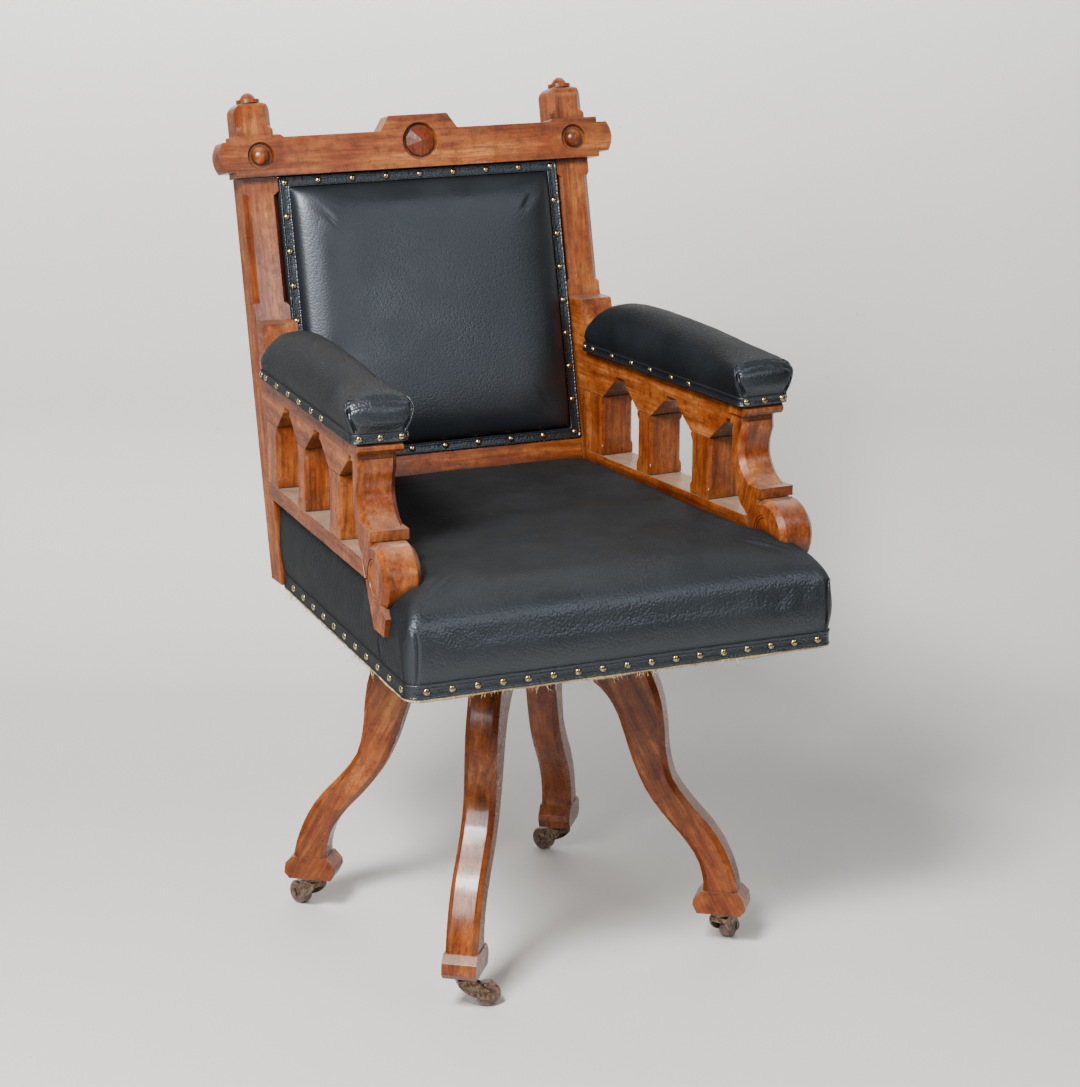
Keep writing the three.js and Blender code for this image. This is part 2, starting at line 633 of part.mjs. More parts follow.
function seatOutline(cornerSteps, sideSteps) {
  return trapezoid({
    nearHalf: SEAT_FRONT_HALF_WIDTH,
    farHalf: seatHalfWidth(seatRearY),
    near: SEAT_FRONT_Y,
    far: seatRearY,
    radius: SEAT_CORNER_RADIUS,
    cornerSteps,
    sideSteps,
  });
}

const frameFront = SEAT_FRONT_Y + frameInset + CLEARANCE;
const railBack = frameFront + SEAT_RAIL_THICKNESS;

function seatPlan(inset, low, high) {
  return extrude("plan", polygon(seatOutline(4, 1)(inset)), low, high);
}

const stileBehind = behindStileFaces();
const railBlock = seatPlan(frameInset + CLEARANCE, frameUnderside, SEAT_RAIL_TOP).subtract(stileBehind);
const innerY = railBack + CLEARANCE;
const sideRailInset = frameInset + CLEARANCE + SEAT_RAIL_THICKNESS;
const frontHalf = seatHalfWidth(frameFront);
const frontZone = box([-frontHalf, frontHalf], [SEAT_FRONT_Y, railBack], [0, HUB_TOP * 2]);
add(chair, "seat_front_rail", railBlock.intersect(frontZone), "hiddenWood");
for (const side of ["left", "right"]) {
  const inward = (y) => mirrored(side, seatHalfWidth(y) - sideRailInset);
  const outward = (y) => mirrored(side, seatHalfWidth(y) + OVERRUN);
  const zone = polygon([
    [inward(innerY), innerY], [outward(innerY), innerY],
    [outward(seatRearY), seatRearY], [inward(seatRearY), seatRearY],
  ]);
  const rail = railBlock.intersect(extrude("plan", zone, 0, HUB_TOP * 2));
  add(chair, `seat_side_rail_${side}`, rail, "hiddenWood");
}
add(back, "seat_rear_rail", box(
  [-STILE_INNER + CLEARANCE, STILE_INNER - CLEARANCE], [0, LOWER_RAIL_DEPTH], [0, REAR_RAIL_HEIGHT],
).subtract(inFrameOf(back, box(
  [-STILE_INNER * 2, STILE_INNER * 2], [0, STILE_FRONT_Y * 2], [0, frameUnderside],
))), "hiddenWood");
for (const side of ["left", "right"]) {
  const centre = mirrored(side, BEARER_SPACING / 2);
  const bearer = box(
    [centre - BEARER_WIDTH / 2, centre + BEARER_WIDTH / 2], [innerY, seatRearY],
    [frameUnderside, frameUnderside + BEARER_THICKNESS],
  ).subtract(stileBehind);
  add(chair, `seat_bearer_${side}`, bearer, "hiddenWood");
}
const clothHalf = BOTTOM_CLOTH_OPENING / 2;
add(chair, "seat_bottom_cloth", seatPlan(
  frameInset + CLEARANCE, SEAT_UNDERSIDE, SEAT_UNDERSIDE + BOTTOM_CLOTH_THICKNESS,
).subtract(stileBehind).subtract(box(
  [-clothHalf, clothHalf], [-clothHalf, clothHalf],
  [SEAT_UNDERSIDE - OVERRUN, SEAT_UNDERSIDE + OVERRUN],
)), "hessian");

// Arms: each in its own splayed frame
const armHalf = ARM_WIDTH / 2;
const neckTop = ARM_RAIL_TOP - CAP_HEIGHT - BLOCK_HEIGHT;
const scrollDrop = neckTop - (SCROLL_CENTRE_Z - SCROLL_RADIUS);
const scrollDepth = SCROLL_BACK - (SCROLL_CENTRE_Y - SCROLL_RADIUS);

function neckPoint([depthShare, dropShare]) {
  return new THREE.Vector2(SCROLL_BACK - depthShare * scrollDepth, neckTop - dropShare * scrollDrop);
}

function scrollShape() {
  const front = neckFrontShares.map(neckPoint);
  const rear = neckBackShares.map(neckPoint);
  const turn = radians(SCROLL_END_DEG - SCROLL_START_DEG);
  const shape = new THREE.Shape();
  shape.moveTo(SCROLL_BACK, neckTop + OVERRUN);
  shape.lineTo(front[0].x, neckTop + OVERRUN);
  shape.lineTo(front[0].x, front[0].y);
  shape.splineThru(front.slice(1));
  for (const share of [0, 1 / 3, 2 / 3]) {
    const start = radians(SCROLL_START_DEG) + share * turn;
    shape.absarc(SCROLL_CENTRE_Y, SCROLL_CENTRE_Z, SCROLL_RADIUS, start, start + turn / 3, false);
  }
  shape.lineTo(rear[0].x, rear[0].y);
  shape.splineThru(rear.slice(1));
  shape.closePath();
  return shape;
}

function tongueShape() {
  const tipZ = SEAT_RAIL_TOP + CLEARANCE;
  const rear = neckPoint(neckBackShares[0]);
  return polygon([
    [TIP_Y, tipZ], [TIP_Y + TIP_LENGTH, tipZ], [rear.x, rear.y], [SCROLL_CENTRE_Y, SCROLL_CENTRE_Z],
    [TIP_Y + TIP_LEAN, tipZ + TIP_SHOULDER + TIP_LEAN], [TIP_Y - TIP_LEAN, tipZ + TIP_SHOULDER],
  ]);
}

function scrollBody(options) {
  return extrude("side", scrollShape(), -armHalf, armHalf, { segments: 3, ...options });
}

function tongue(options) {
  return extrude("side", tongueShape(), -armHalf, armHalf, options);
}

function scroll() {
  const capBottom = ARM_RAIL_TOP - CAP_HEIGHT;
  const cap = polygon([
    [CAP_FRONT + CAP_NOSE, ARM_RAIL_TOP], [CAP_FRONT, ARM_RAIL_TOP - CAP_NOSE],
    [CAP_FRONT, capBottom + CAP_NOSE], [CAP_FRONT + CAP_NOSE, capBottom],
    [CAP_FRONT + CAP_LENGTH, capBottom], [CAP_FRONT + CAP_LENGTH, ARM_RAIL_TOP],
  ]);
  const blockFront = CAP_FRONT + BLOCK_SET_BACK;
  const block = extrude("plan", polygon([
    [-armHalf, SCROLL_BACK], [-armHalf, blockFront + BLOCK_CHAMFER], [-armHalf + BLOCK_CHAMFER, blockFront],
    [armHalf - BLOCK_CHAMFER, blockFront], [armHalf, blockFront + BLOCK_CHAMFER], [armHalf, SCROLL_BACK],
  ]), neckTop, ARM_RAIL_TOP);
  const collarEnd = SCROLL_COLLAR_Y + SCROLL_COLLAR_LENGTH;
  const collar = box([-armHalf, armHalf], [SCROLL_COLLAR_Y, collarEnd],
    [SCROLL_COLLAR_TOP - SCROLL_COLLAR_HEIGHT, SCROLL_COLLAR_TOP]);
  const recess = solid(new THREE.CylinderGeometry(
    ROUNDEL_RADIUS + CLEARANCE, ROUNDEL_RADIUS + CLEARANCE, ROUNDEL_RECESS_DEPTH * 2, ROUND_SEGMENTS,
  )).rotate([0, 0, 90]).translate([0, SCROLL_CENTRE_Y, SCROLL_CENTRE_Z]);
  return scrollBody({ chamfer: SCROLL_CHAMFER })
    .add(block)
    .add(extrude("side", cap, -CAP_WIDTH / 2, CAP_WIDTH / 2))
    .add(collar)
    .add(tongue({}))
    .subtract(recess.translate([armHalf, 0, 0]))
    .subtract(recess.translate([-armHalf, 0, 0]));
}

function archPoints(from, to) {
  const centre = (from + to) / 2;
  return [
    [to, ARCH_SPRING], [centre + ARCH_HAUNCH_HALF_WIDTH, ARCH_HAUNCH],
    [centre + ARCH_APEX_HALF_WIDTH, ARCH_HAUNCH], [centre + ARCH_APEX_HALF_WIDTH, ARCH_APEX],
    [centre - ARCH_APEX_HALF_WIDTH, ARCH_APEX], [centre - ARCH_APEX_HALF_WIDTH, ARCH_HAUNCH],
    [centre - ARCH_HAUNCH_HALF_WIDTH, ARCH_HAUNCH], [from, ARCH_SPRING],
  ];
}

// The front arch springs from the front post and dies into the scroll support.
const fullArchWidth = MIDDLE_POST[0] - FRONT_POST[1];

function armRail() {
  const railFront = SCROLL_BACK + CLEARANCE;
  const outline = polygon([
    [ARM_REACH_BACK, ARCH_SPRING], ...archPoints(MIDDLE_POST[1], REAR_POST_FROM),
    ...archPoints(FRONT_POST[1], MIDDLE_POST[0]),
    ...archPoints(FRONT_POST[0] - fullArchWidth, FRONT_POST[0]).slice(0, 4),
    [railFront, ARCH_APEX], [railFront, ARM_RAIL_TOP],
    [HEEL_FOOT_FROM, ARM_RAIL_TOP], [HEEL_TOP_FROM, HEEL_TOP], [ARM_REACH_BACK, HEEL_TOP],
  ]);
  return extrude("side", outline, -armHalf, armHalf);
}

function armPost([from, to], chamferedRear = true) {
  const low = SILL + CLEARANCE;
  const high = ARCH_SPRING - CLEARANCE;
  let post = box([-armHalf, armHalf], [from, to], [low, high]);
  const ends = chamferedRear ? [from, to] : [from];
  for (const y of ends) {
    for (const x of [-armHalf, armHalf]) {
      const angle = THREE.MathUtils.radToDeg(Math.atan2(y === from ? -1 : 1, Math.sign(x)));
      const chamferFrom = low + CHAMFER_STOP * 2;
      const chamferTo = high - CHAMFER_STOP;
      post = post.subtract(stoppedChamfer(x, y, angle, chamferFrom, chamferTo, POST_CHAMFER, CHAMFER_STOP));
    }
  }
  return post;
}

function sillRail() {
  return box([-armHalf, armHalf], [SCROLL_CENTRE_Y, ARM_REACH_BACK], [SILL - SILL_RAIL_HEIGHT, SILL])
    .subtract(scrollBody({ grow: CLEARANCE }))
    .subtract(tongue({ grow: CLEARANCE }));
}

// The room that an arcade takes from its inner face outwards, above the foot of its sill rail.
function overSill(side) {
  const inner = mirrored(side, -armHalf - CLEARANCE);
  const outer = mirrored(side, SEAT_FRONT_HALF_WIDTH);
  return box([Math.min(inner, outer), Math.max(inner, outer)], [SCROLL_CENTRE_Y, ARM_REACH_BACK],
    [SILL - SILL_RAIL_HEIGHT - CLEARANCE, ARM_RAIL_TOP]);
}

function roundel(side) {
  const floor = ROUNDEL_RECESS_DEPTH - CLEARANCE;
  const top = ROUNDEL_THICKNESS;
  const sunk = top - ROUNDEL_SINK;
  const disc = turned([
    [0, 0], [ROUNDEL_RADIUS, 0], [ROUNDEL_RADIUS, top], [ROUNDEL_RADIUS - ROUNDEL_RIM, top],
    [ROUNDEL_RADIUS - ROUNDEL_RIM, sunk], [ROUNDEL_EYE_RADIUS, sunk],
    [ROUNDEL_EYE_RADIUS, sunk / 2], [0, sunk / 2],
  ]);
  const outward = side === "right" ? 90 : -90;
  return disc.rotate([0, outward, 0])
    .translate([mirrored(side, armHalf - floor), SCROLL_CENTRE_Y, SCROLL_CENTRE_Z]);
}

const armPadBase = ARM_RAIL_TOP + CLEARANCE;

function armPadOutline(cornerSteps, sideSteps) {
  return trapezoid({
    nearHalf: ARM_PAD_HALF_WIDTH,
    farHalf: ARM_PAD_HALF_WIDTH,
    near: ARM_PAD_FRONT + BAND_THICKNESS + CLEARANCE,
    far: ARM_PAD_REAR - BAND_THICKNESS - CLEARANCE,
    radius: ARM_PAD_CORNER_RADIUS,
    cornerSteps,
    sideSteps,
  });
}

function armPad() {
  const bandTop = armPadBase + ARM_BAND_HEIGHT + CLEARANCE;
  const near = ARM_PAD_FRONT + BAND_THICKNESS + CLEARANCE;
  const length = ARM_PAD_REAR - ARM_PAD_FRONT - 2 * (BAND_THICKNESS + CLEARANCE);
  const rings = armPadStationShares.map(([lengthShare, footShare, widthShare, riseShare]) => {
    const y = near + lengthShare * length;
    const footHalf = footShare * ARM_PAD_HALF_WIDTH;
    const half = armPadSectionShares.slice(0, -1).map(([across, up]) => [
      across * widthShare * ARM_PAD_HALF_WIDTH, y, bandTop + up * riseShare * ARM_PAD_RISE,
    ]);
    half.push([footHalf, y, bandTop], [footHalf, y, armPadBase]);
    const other = half.slice(1).reverse().map(([x, , z]) => [-x, y, z]);
    return [...half, ...other];
  });
  return stacked(rings);
}

function armBand() {
  const outline = armPadOutline(3, 1);
  const top = armPadBase + ARM_BAND_HEIGHT;
  const outer = extrude("plan", polygon(outline(-BAND_THICKNESS - CLEARANCE)), armPadBase, top);
  const inner = extrude("plan", polygon(outline(-CLEARANCE)), armPadBase - OVERRUN, top + OVERRUN);
  return outer.subtract(inner);
}

const seatCuts = [];
for (const side of ["left", "right"]) {
  const arm = new THREE.Group();
  arm.position.x = mirrored(side, ARM_HALF_SPREAD);
  arm.rotation.z = mirrored(side, radians(ARM_SPLAY_DEG));
  chair.add(arm);
  const behind = inFrameOf(arm, stileBehind);
  add(arm, `arm_rail_${side}`, armRail().subtract(behind), "oak");
  const rearPost = armPost([REAR_POST_FROM, ARM_REACH_BACK], false).subtract(behind);
  add(arm, `arm_post_rear_${side}`, rearPost, "oak");
  add(arm, `arm_post_middle_${side}`, armPost(MIDDLE_POST), "oak");
  add(arm, `arm_post_front_${side}`, armPost(FRONT_POST), "oak");
  add(arm, `arm_sill_rail_${side}`, sillRail().subtract(behind), "oak");
  add(arm, `arm_scroll_${side}`, scroll(), "oak");
  const inner = side === "left" ? "right" : "left";
  add(arm, `roundel_outer_${side}`, roundel(side), "oak");
  add(arm, `roundel_inner_${side}`, roundel(inner), "oak");
  add(arm, `arm_pad_${side}`, armPad(), "leather");
  add(arm, `arm_pad_band_${side}`, armBand(), "leather");
  const grown = scrollBody({ grow: CLEARANCE }).add(tongue({ grow: CLEARANCE })).add(overSill(side));
  chair.updateMatrixWorld(true);
  const toChair = chair.matrixWorld.clone().invert().multiply(arm.matrixWorld);
  seatCuts.push(grown.transform(toChair.elements));
}

// Seat stuffing under one leather cover, and the nailed band round its foot
function seatHeight(x, y) {
  const fromSide = rounded(seatHalfWidth(y) - Math.abs(x), SEAT_SIDE_REACH, SEAT_DOME_SQUARENESS);
  const fromFront = rounded(y - SEAT_FRONT_Y, SEAT_DOME_REACH, SEAT_DOME_SQUARENESS);
  return SEAT_SHOULDER + (SEAT_CROWN - SEAT_SHOULDER) * blended(fromSide, fromFront);
}

function seatCushion() {
  const bandTop = SEAT_UNDERSIDE + SEAT_BAND_HEIGHT;
  const middle = (bandTop + SEAT_SHOULDER) / 2;
  const levels = [
    [skinInset, () => SEAT_UNDERSIDE],
    [skinInset, () => bandTop],
    [(skinInset - SEAT_SIDE_BULGE) / 2, () => (bandTop + middle) / 2],
    [skinInset - SEAT_SIDE_BULGE, () => middle],
    [0, () => SEAT_SHOULDER],
  ];
  for (const share of seatRingShares) {
    levels.push([share * SEAT_DOME_REACH, seatHeight]);
  }
  const frame = seatPlan(frameInset, SEAT_UNDERSIDE - OVERRUN, SEAT_RAIL_TOP + CLEARANCE);
  return [stileBehind, frame, ...seatCuts].reduce(
    (body, cutter) => body.subtract(cutter), stuffed(seatOutline(4, 9), levels));
}
add(chair, "seat_cushion", seatCushion(), "leather");

const seatBandTop = SEAT_UNDERSIDE + SEAT_BAND_HEIGHT;
add(chair, "seat_band", seatPlan(0, SEAT_UNDERSIDE, seatBandTop)
  .subtract(seatPlan(BAND_THICKNESS, SEAT_UNDERSIDE - OVERRUN, seatBandTop + OVERRUN))
  .subtract(stileBehind), "leather");

// Back: stiles with turned caps, crest rail halved over them, lower rail and the stuffed panel
const floorCut = inFrameOf(back, box(
  [-stileOuter * 2, stileOuter * 2], [0, STILE_FRONT_Y * 2], [0, STILE_BOTTOM],
));

function crestShape(grow) {
  const foot = CREST_FROM - grow;
  const top = CREST_FROM + CREST_HEIGHT + grow;
  const blockTop = top + CREST_STEP;
  const blockStart = STILE_INNER - CREST_BLOCK_MARGIN;
  const middle = CREST_FROM + (CREST_HEIGHT + CREST_STEP) / 2;
  const tongueHalf = (CREST_HEIGHT + CREST_STEP) / 2 - TONGUE_INSET;
  const tongueEnd = CREST_BLOCK_HALF_WIDTH + TONGUE_LENGTH;
  const shape = new THREE.Shape();
  shape.moveTo(-CREST_BLOCK_HALF_WIDTH, foot);
  shape.lineTo(CREST_BLOCK_HALF_WIDTH, foot);
  shape.lineTo(CREST_BLOCK_HALF_WIDTH, middle - tongueHalf);
  shape.lineTo(tongueEnd - TONGUE_BULGE, middle - tongueHalf);
  shape.quadraticCurveTo(tongueEnd + TONGUE_BULGE, middle, tongueEnd - TONGUE_BULGE, middle + tongueHalf);
  shape.lineTo(CREST_BLOCK_HALF_WIDTH, middle + tongueHalf);
  shape.lineTo(CREST_BLOCK_HALF_WIDTH, blockTop);
  shape.lineTo(blockStart, blockTop);
  shape.lineTo(blockStart - CREST_STEP_SLOPE, top);
  shape.lineTo(TABLET_BASE_HALF_WIDTH, top);
  shape.lineTo(TABLET_TOP_HALF_WIDTH, top + TABLET_HEIGHT);
  shape.lineTo(-TABLET_TOP_HALF_WIDTH, top + TABLET_HEIGHT);
  shape.lineTo(-TABLET_BASE_HALF_WIDTH, top);
  shape.lineTo(-blockStart + CREST_STEP_SLOPE, top);
  shape.lineTo(-blockStart, blockTop);
  shape.lineTo(-CREST_BLOCK_HALF_WIDTH, blockTop);
  shape.lineTo(-CREST_BLOCK_HALF_WIDTH, middle + tongueHalf);
  shape.lineTo(-tongueEnd + TONGUE_BULGE, middle + tongueHalf);
  shape.quadraticCurveTo(-tongueEnd - TONGUE_BULGE, middle, -tongueEnd + TONGUE_BULGE, middle - tongueHalf);
  shape.lineTo(-CREST_BLOCK_HALF_WIDTH, middle - tongueHalf);
  shape.closePath();
  return shape;
}

const crestFront = -CREST_PROUD;
const crestBack = CREST_THICKNESS - CREST_PROUD;
const buttonHeight = CREST_FROM + (CREST_HEIGHT + CREST_STEP) / 2;
const rosetteHeight = CREST_FROM + ROSETTE_ABOVE_CREST_FOOT;

// A dish sunk in the front of the crest, narrower at its floor.
function dish(x, z, radius, depth) {
  const floorRadius = radius - depth / 2;
  const mouthRadius = radius + depth / 2;
  const geometry = new THREE.CylinderGeometry(floorRadius, mouthRadius, depth * 2, ROUND_SEGMENTS);
  return solid(geometry).translate([x, crestFront, z]);
}

function crestRail() {
  let rail = extrude("front", crestShape(0), crestFront, crestBack, { segments: 8 });
  for (const x of [-stileCentre, stileCentre]) {
    rail = rail.subtract(dish(x, buttonHeight, BUTTON_RECESS_RADIUS, BUTTON_RECESS_DEPTH));
  }
  return rail.subtract(dish(0, rosetteHeight, ROSETTE_RECESS_RADIUS, ROSETTE_RECESS_DEPTH));
}
add(back, "crest_rail", crestRail(), "oak");

function stile(side) {
  const from = side === "left" ? -stileOuter : STILE_INNER;
  const to = from + STILE_WIDTH;
  const centre = (from + to) / 2;
  const r = STILE_SHOULDER_RADIUS;
  const front = new THREE.Shape();
  front.moveTo(from, -STILE_DEPTH);
  front.lineTo(to, -STILE_DEPTH);
  front.lineTo(to, STILE_SHOULDER - r);
  front.absarc(to - r, STILE_SHOULDER - r, r, 0, Math.PI / 2, false);
  front.lineTo(from + r, STILE_SHOULDER);
  front.absarc(from + r, STILE_SHOULDER - r, r, Math.PI / 2, Math.PI, false);
  front.closePath();
  const sideR = r * (STILE_DEPTH / STILE_WIDTH);
  const profile = new THREE.Shape();
  profile.moveTo(0, -STILE_DEPTH);
  profile.lineTo(STILE_DEPTH, -STILE_DEPTH);
  profile.lineTo(STILE_DEPTH, STILE_SHOULDER - r);
  profile.quadraticCurveTo(STILE_DEPTH, STILE_SHOULDER, STILE_DEPTH - sideR, STILE_SHOULDER);
  profile.lineTo(sideR, STILE_SHOULDER);
  profile.quadraticCurveTo(0, STILE_SHOULDER, 0, STILE_SHOULDER - r);
  profile.closePath();
  let post = extrude("front", front, 0, STILE_DEPTH, { segments: 6 })
    .intersect(extrude("side", profile, from - OVERRUN, to + OVERRUN, { segments: 6 }))
    .subtract(floorCut)
    .subtract(extrude("front", crestShape(CLEARANCE), -OVERRUN, crestBack + CLEARANCE, { segments: 8 }));
  for (const [x, angle] of [[from, -135], [to, -45]]) {
    const headTo = STILE_SHOULDER + STILE_CHAMFER;
    for (const [low, high] of [[STILE_CHAMFER_FROM, STILE_CHAMFER_TO], [HEAD_CHAMFER_FROM, headTo]]) {
      post = post.subtract(stoppedChamfer(x, 0, angle, low, high, STILE_CHAMFER, CHAMFER_STOP));
    }
  }
  const collarLow = STILE_SHOULDER - CLEARANCE;
  const collar = rod(COLLAR_RADIUS, collarLow, STILE_SHOULDER + COLLAR_HEIGHT);
  const cap = collar.add(dome(DOME_RADIUS, collarLow, DOME_HEIGHT + COLLAR_HEIGHT + CLEARANCE));
  return post.add(cap.translate([centre, STILE_DEPTH / 2, 0]));
}
for (const side of ["left", "right"]) {
  add(back, `stile_${side}`, stile(side), "oak");
  const button = dome(BUTTON_RADIUS, 0, BUTTON_HEIGHT).rotate([90, 0, 0])
    .translate([mirrored(side, stileCentre), crestFront + BUTTON_RECESS_DEPTH - CLEARANCE, buttonHeight]);
  add(back, `crest_button_${side}`, button, "darkOak");
}

function rosette() {
  const boss = turned([
    [0, 0], [ROSETTE_RADIUS, 0], [ROSETTE_RADIUS, ROSETTE_RIM], [0, ROSETTE_HEIGHT],
  ], ROSETTE_FACETS);
  return boss.rotate([90, 0, 0])
    .translate([0, crestFront + ROSETTE_RECESS_DEPTH - CLEARANCE, rosetteHeight]);
}
add(back, "crest_rosette", rosette(), "darkOak");

const panelHalf = STILE_INNER - CLEARANCE;
const panelLow = LOWER_RAIL_TO + CLEARANCE;
const panelHigh = CREST_FROM - CLEARANCE;
add(back, "lower_back_rail", box(
  [-panelHalf, panelHalf], [0, LOWER_RAIL_DEPTH], [LOWER_RAIL_FROM, LOWER_RAIL_TO],
), "oak");

// The panel is drawn in plan with its height as y, then stood up in front of its board.
function panelOutline(cornerSteps, sideSteps) {
  return trapezoid({
    nearHalf: panelHalf,
    farHalf: panelHalf,
    near: panelLow,
    far: panelHigh,
    radius: BACK_PAD_CORNER_RADIUS,
    cornerSteps,
    sideSteps,
  });
}

function standing(manifold) {
  return manifold.rotate([90, 0, 0]);
}

function backPad() {
  const innerHalf = panelHalf - BACK_BAND_WIDTH;
  const middle = (panelLow + panelHigh) / 2;
  const innerHeight = panelHigh - middle - BACK_BAND_WIDTH;
  const crown = (x, z) => {
    const riseX = rounded(innerHalf - Math.abs(x), BACK_PAD_SHOULDER, SEAT_DOME_SQUARENESS);
    const riseZ = rounded(innerHeight - Math.abs(z - middle), BACK_PAD_SHOULDER, SEAT_DOME_SQUARENESS);
    return BACK_PAD_CROWN * blended(riseX, riseZ);
  };
  const levels = [[0, () => -BACK_PAD_DEPTH], [0, () => 0], [BACK_BAND_WIDTH, () => 0]];
  for (const share of backRingShares) {
    levels.push([BACK_BAND_WIDTH + share * BACK_PAD_SHOULDER, crown]);
  }
  return standing(stuffed(panelOutline(2, 9), levels));
}
add(back, "back_pad", backPad(), "leather");

function backBand() {
  const outline = panelOutline(2, 1);
  const low = CLEARANCE;
  const outer = extrude("plan", polygon(outline(0)), low, low + BAND_THICKNESS);
  const inner = polygon(outline(BACK_BAND_WIDTH - CLEARANCE));
  return standing(outer.subtract(extrude("plan", inner, low - OVERRUN, low + OVERRUN)));
}
add(back, "back_pad_band", backBand(), "leather");
const boardFront = BACK_PAD_DEPTH + CLEARANCE;
add(back, "outside_back", box(
  [-panelHalf, panelHalf], [boardFront, boardFront + OUTSIDE_BACK_THICKNESS], [panelLow, panelHigh],
), "leather");

export default chair;
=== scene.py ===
"""An oak swivel armchair with arcaded arms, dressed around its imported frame.

The stuffed leather, its nailed bands and the woven bottom are made here; the woodwork and the iron keep
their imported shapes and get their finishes. Lengths are in metres unless a name ends in mm.
"""
import json
import math

import bmesh
import bpy
import numpy as np
from bpy.props import FloatProperty, FloatVectorProperty, IntProperty
from mathutils import Matrix, Vector
from mathutils.bvhtree import BVHTree


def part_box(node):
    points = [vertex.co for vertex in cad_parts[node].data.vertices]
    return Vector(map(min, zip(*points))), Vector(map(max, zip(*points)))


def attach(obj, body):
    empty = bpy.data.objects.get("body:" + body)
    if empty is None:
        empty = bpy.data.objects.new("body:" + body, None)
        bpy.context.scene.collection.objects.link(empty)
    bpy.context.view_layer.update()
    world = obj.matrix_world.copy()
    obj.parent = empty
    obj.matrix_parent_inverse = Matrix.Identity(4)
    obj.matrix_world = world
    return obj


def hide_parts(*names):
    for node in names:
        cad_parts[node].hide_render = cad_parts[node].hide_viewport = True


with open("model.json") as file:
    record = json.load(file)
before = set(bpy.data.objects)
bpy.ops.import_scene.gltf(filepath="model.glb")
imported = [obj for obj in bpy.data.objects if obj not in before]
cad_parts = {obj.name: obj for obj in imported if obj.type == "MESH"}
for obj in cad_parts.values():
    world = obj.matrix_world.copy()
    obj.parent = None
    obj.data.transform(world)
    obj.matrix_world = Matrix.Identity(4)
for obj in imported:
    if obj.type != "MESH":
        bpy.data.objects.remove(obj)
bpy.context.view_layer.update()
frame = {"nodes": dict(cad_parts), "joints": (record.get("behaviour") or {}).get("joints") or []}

bl_info = {
    "name": "Oak Swivel Armchair",
    "version": (1, 0, 0),
    "blender": (4, 5, 0),
    "location": "3D View > Sidebar > Armchair",
    "description": "Dresses the packed frame of an oak swivel armchair",
    "category": "Object",
}

MM = 0.001
SIDES = {"left": -1, "right": 1}
PLACES = ("front", "left", "rear", "right")

# The swivel axis carries the frame in which the chair was drawn, in millimetres.
AXIS = np.array(next(j for j in frame["joints"] if j["name"] == "seat_swivel")["pos_m"]) * (1, 1, 0)

RAKE = math.radians(13.5)
STILE_FRONT_MM = 174.5
STILE_FOOT_MM = 405
SPLAY = math.radians(4.1)
ARM_SPREAD_MM = 222.2

# Seat
SEAT_PLAN_MM = {"near_half": 259, "far_half": 223.38, "near": -297, "far": 200, "radius": 16}
SEAT_FOOT_MM = 403
SEAT_BAND_TOP_MM = 420
SEAT_SHOULDER_MM = 465
SEAT_CROWN_MM = 517
SEAT_REACH_MM = 120
SEAT_SIDE_REACH_MM = 50
DOME_SQUARENESS = 2.6
STUFFING_PRESSURE = 3.0
STUFFING_FRAMES = 16
SKIN_INSET_MM = 2.5
RAIL_INSET_MM = 5.6
RAIL_TOP_MM = 459
HELD_REAR_MM = 168
HELD_TOP_MM = 495

# Back panel, in the raked frame
PANEL_HALF_MM = 181.7
PANEL_LOW_MM = 138.9
PANEL_HIGH_MM = 482.7
BACK_BORDER_MM = 13.5
BACK_CROWN_MM = 24
BACK_REACH_MM = 80
BACK_DEPTH_MM = 24.8

# Arms and their pads, in the splayed frame
ARM_HALF_MM = 22
SILL_FRONT_MM = -190
SILL_FOOT_MM = 507
PAD_FRONT_MM = -164.5
PAD_REAR_MM = 197.5
PAD_FOOT_MM = 653.0
PAD_BAND_TOP_MM = 664.1
PAD_HALF_MM = 31
PAD_RISE_MM = 59

# Leather bands, pleats, the cloth underneath and its fringe
BAND_THICK_MM = 2.2
BAND_ROLL_MM = 1.1
TUCK_GAP_MM = 0.4
PLEAT_STEPS = 48
SEAT_BAND_WIDTH_MM = 17
SEAT_BAND_REAR_MM = 175.0
ARM_BAND_WIDTH_MM = 11
BACK_BAND_INSET_MM = 0.3
HEM_REAR_MM = 174.0
CLOTH_REAR_MM = 176
FRINGE_THREADS = 900
SPINDLE_HOLE_MM = 27


def linear(hex_text):
    """The linear colour of an sRGB hex value, with full alpha."""
    shares = [int(hex_text[i:i + 2], 16) / 255 for i in (1, 3, 5)]
    return tuple(s / 12.92 if s <= 0.04045 else ((s + 0.055) / 1.055) ** 2.4 for s in shares) + (1.0,)


def in_row(points_mm):
    """Points of the chair's own frame, in millimetres, as metres of the row frame."""
    return np.asarray(points_mm, float) * MM + AXIS


def raked(points_mm):
    """Points of the back's frame turned back by the rake and stood at the foot of the stiles."""
    x, y, z = np.moveaxis(np.asarray(points_mm, float), -1, 0)
    cos, sin = math.cos(RAKE), math.sin(RAKE)
    return np.stack([x, STILE_FRONT_MM + y * cos + z * sin, STILE_FOOT_MM - y * sin + z * cos], -1)


def splayed(points_mm, side):
    """Points of an arm's frame turned outwards by the splay and set at the arm's distance."""
    x, y, z = np.moveaxis(np.asarray(points_mm, float), -1, 0)
    cos, sin = math.cos(SPLAY), math.sin(SPLAY) * side
    return np.stack([side * ARM_SPREAD_MM + x * cos - y * sin, x * sin + y * cos, z], -1)


def across_arm(points_mm, side):
    """How far outside an arm's middle each point is, square to the arm."""
    outward = points_mm[..., 0] * side - ARM_SPREAD_MM
    return outward * math.cos(SPLAY) + points_mm[..., 1] * math.sin(SPLAY)


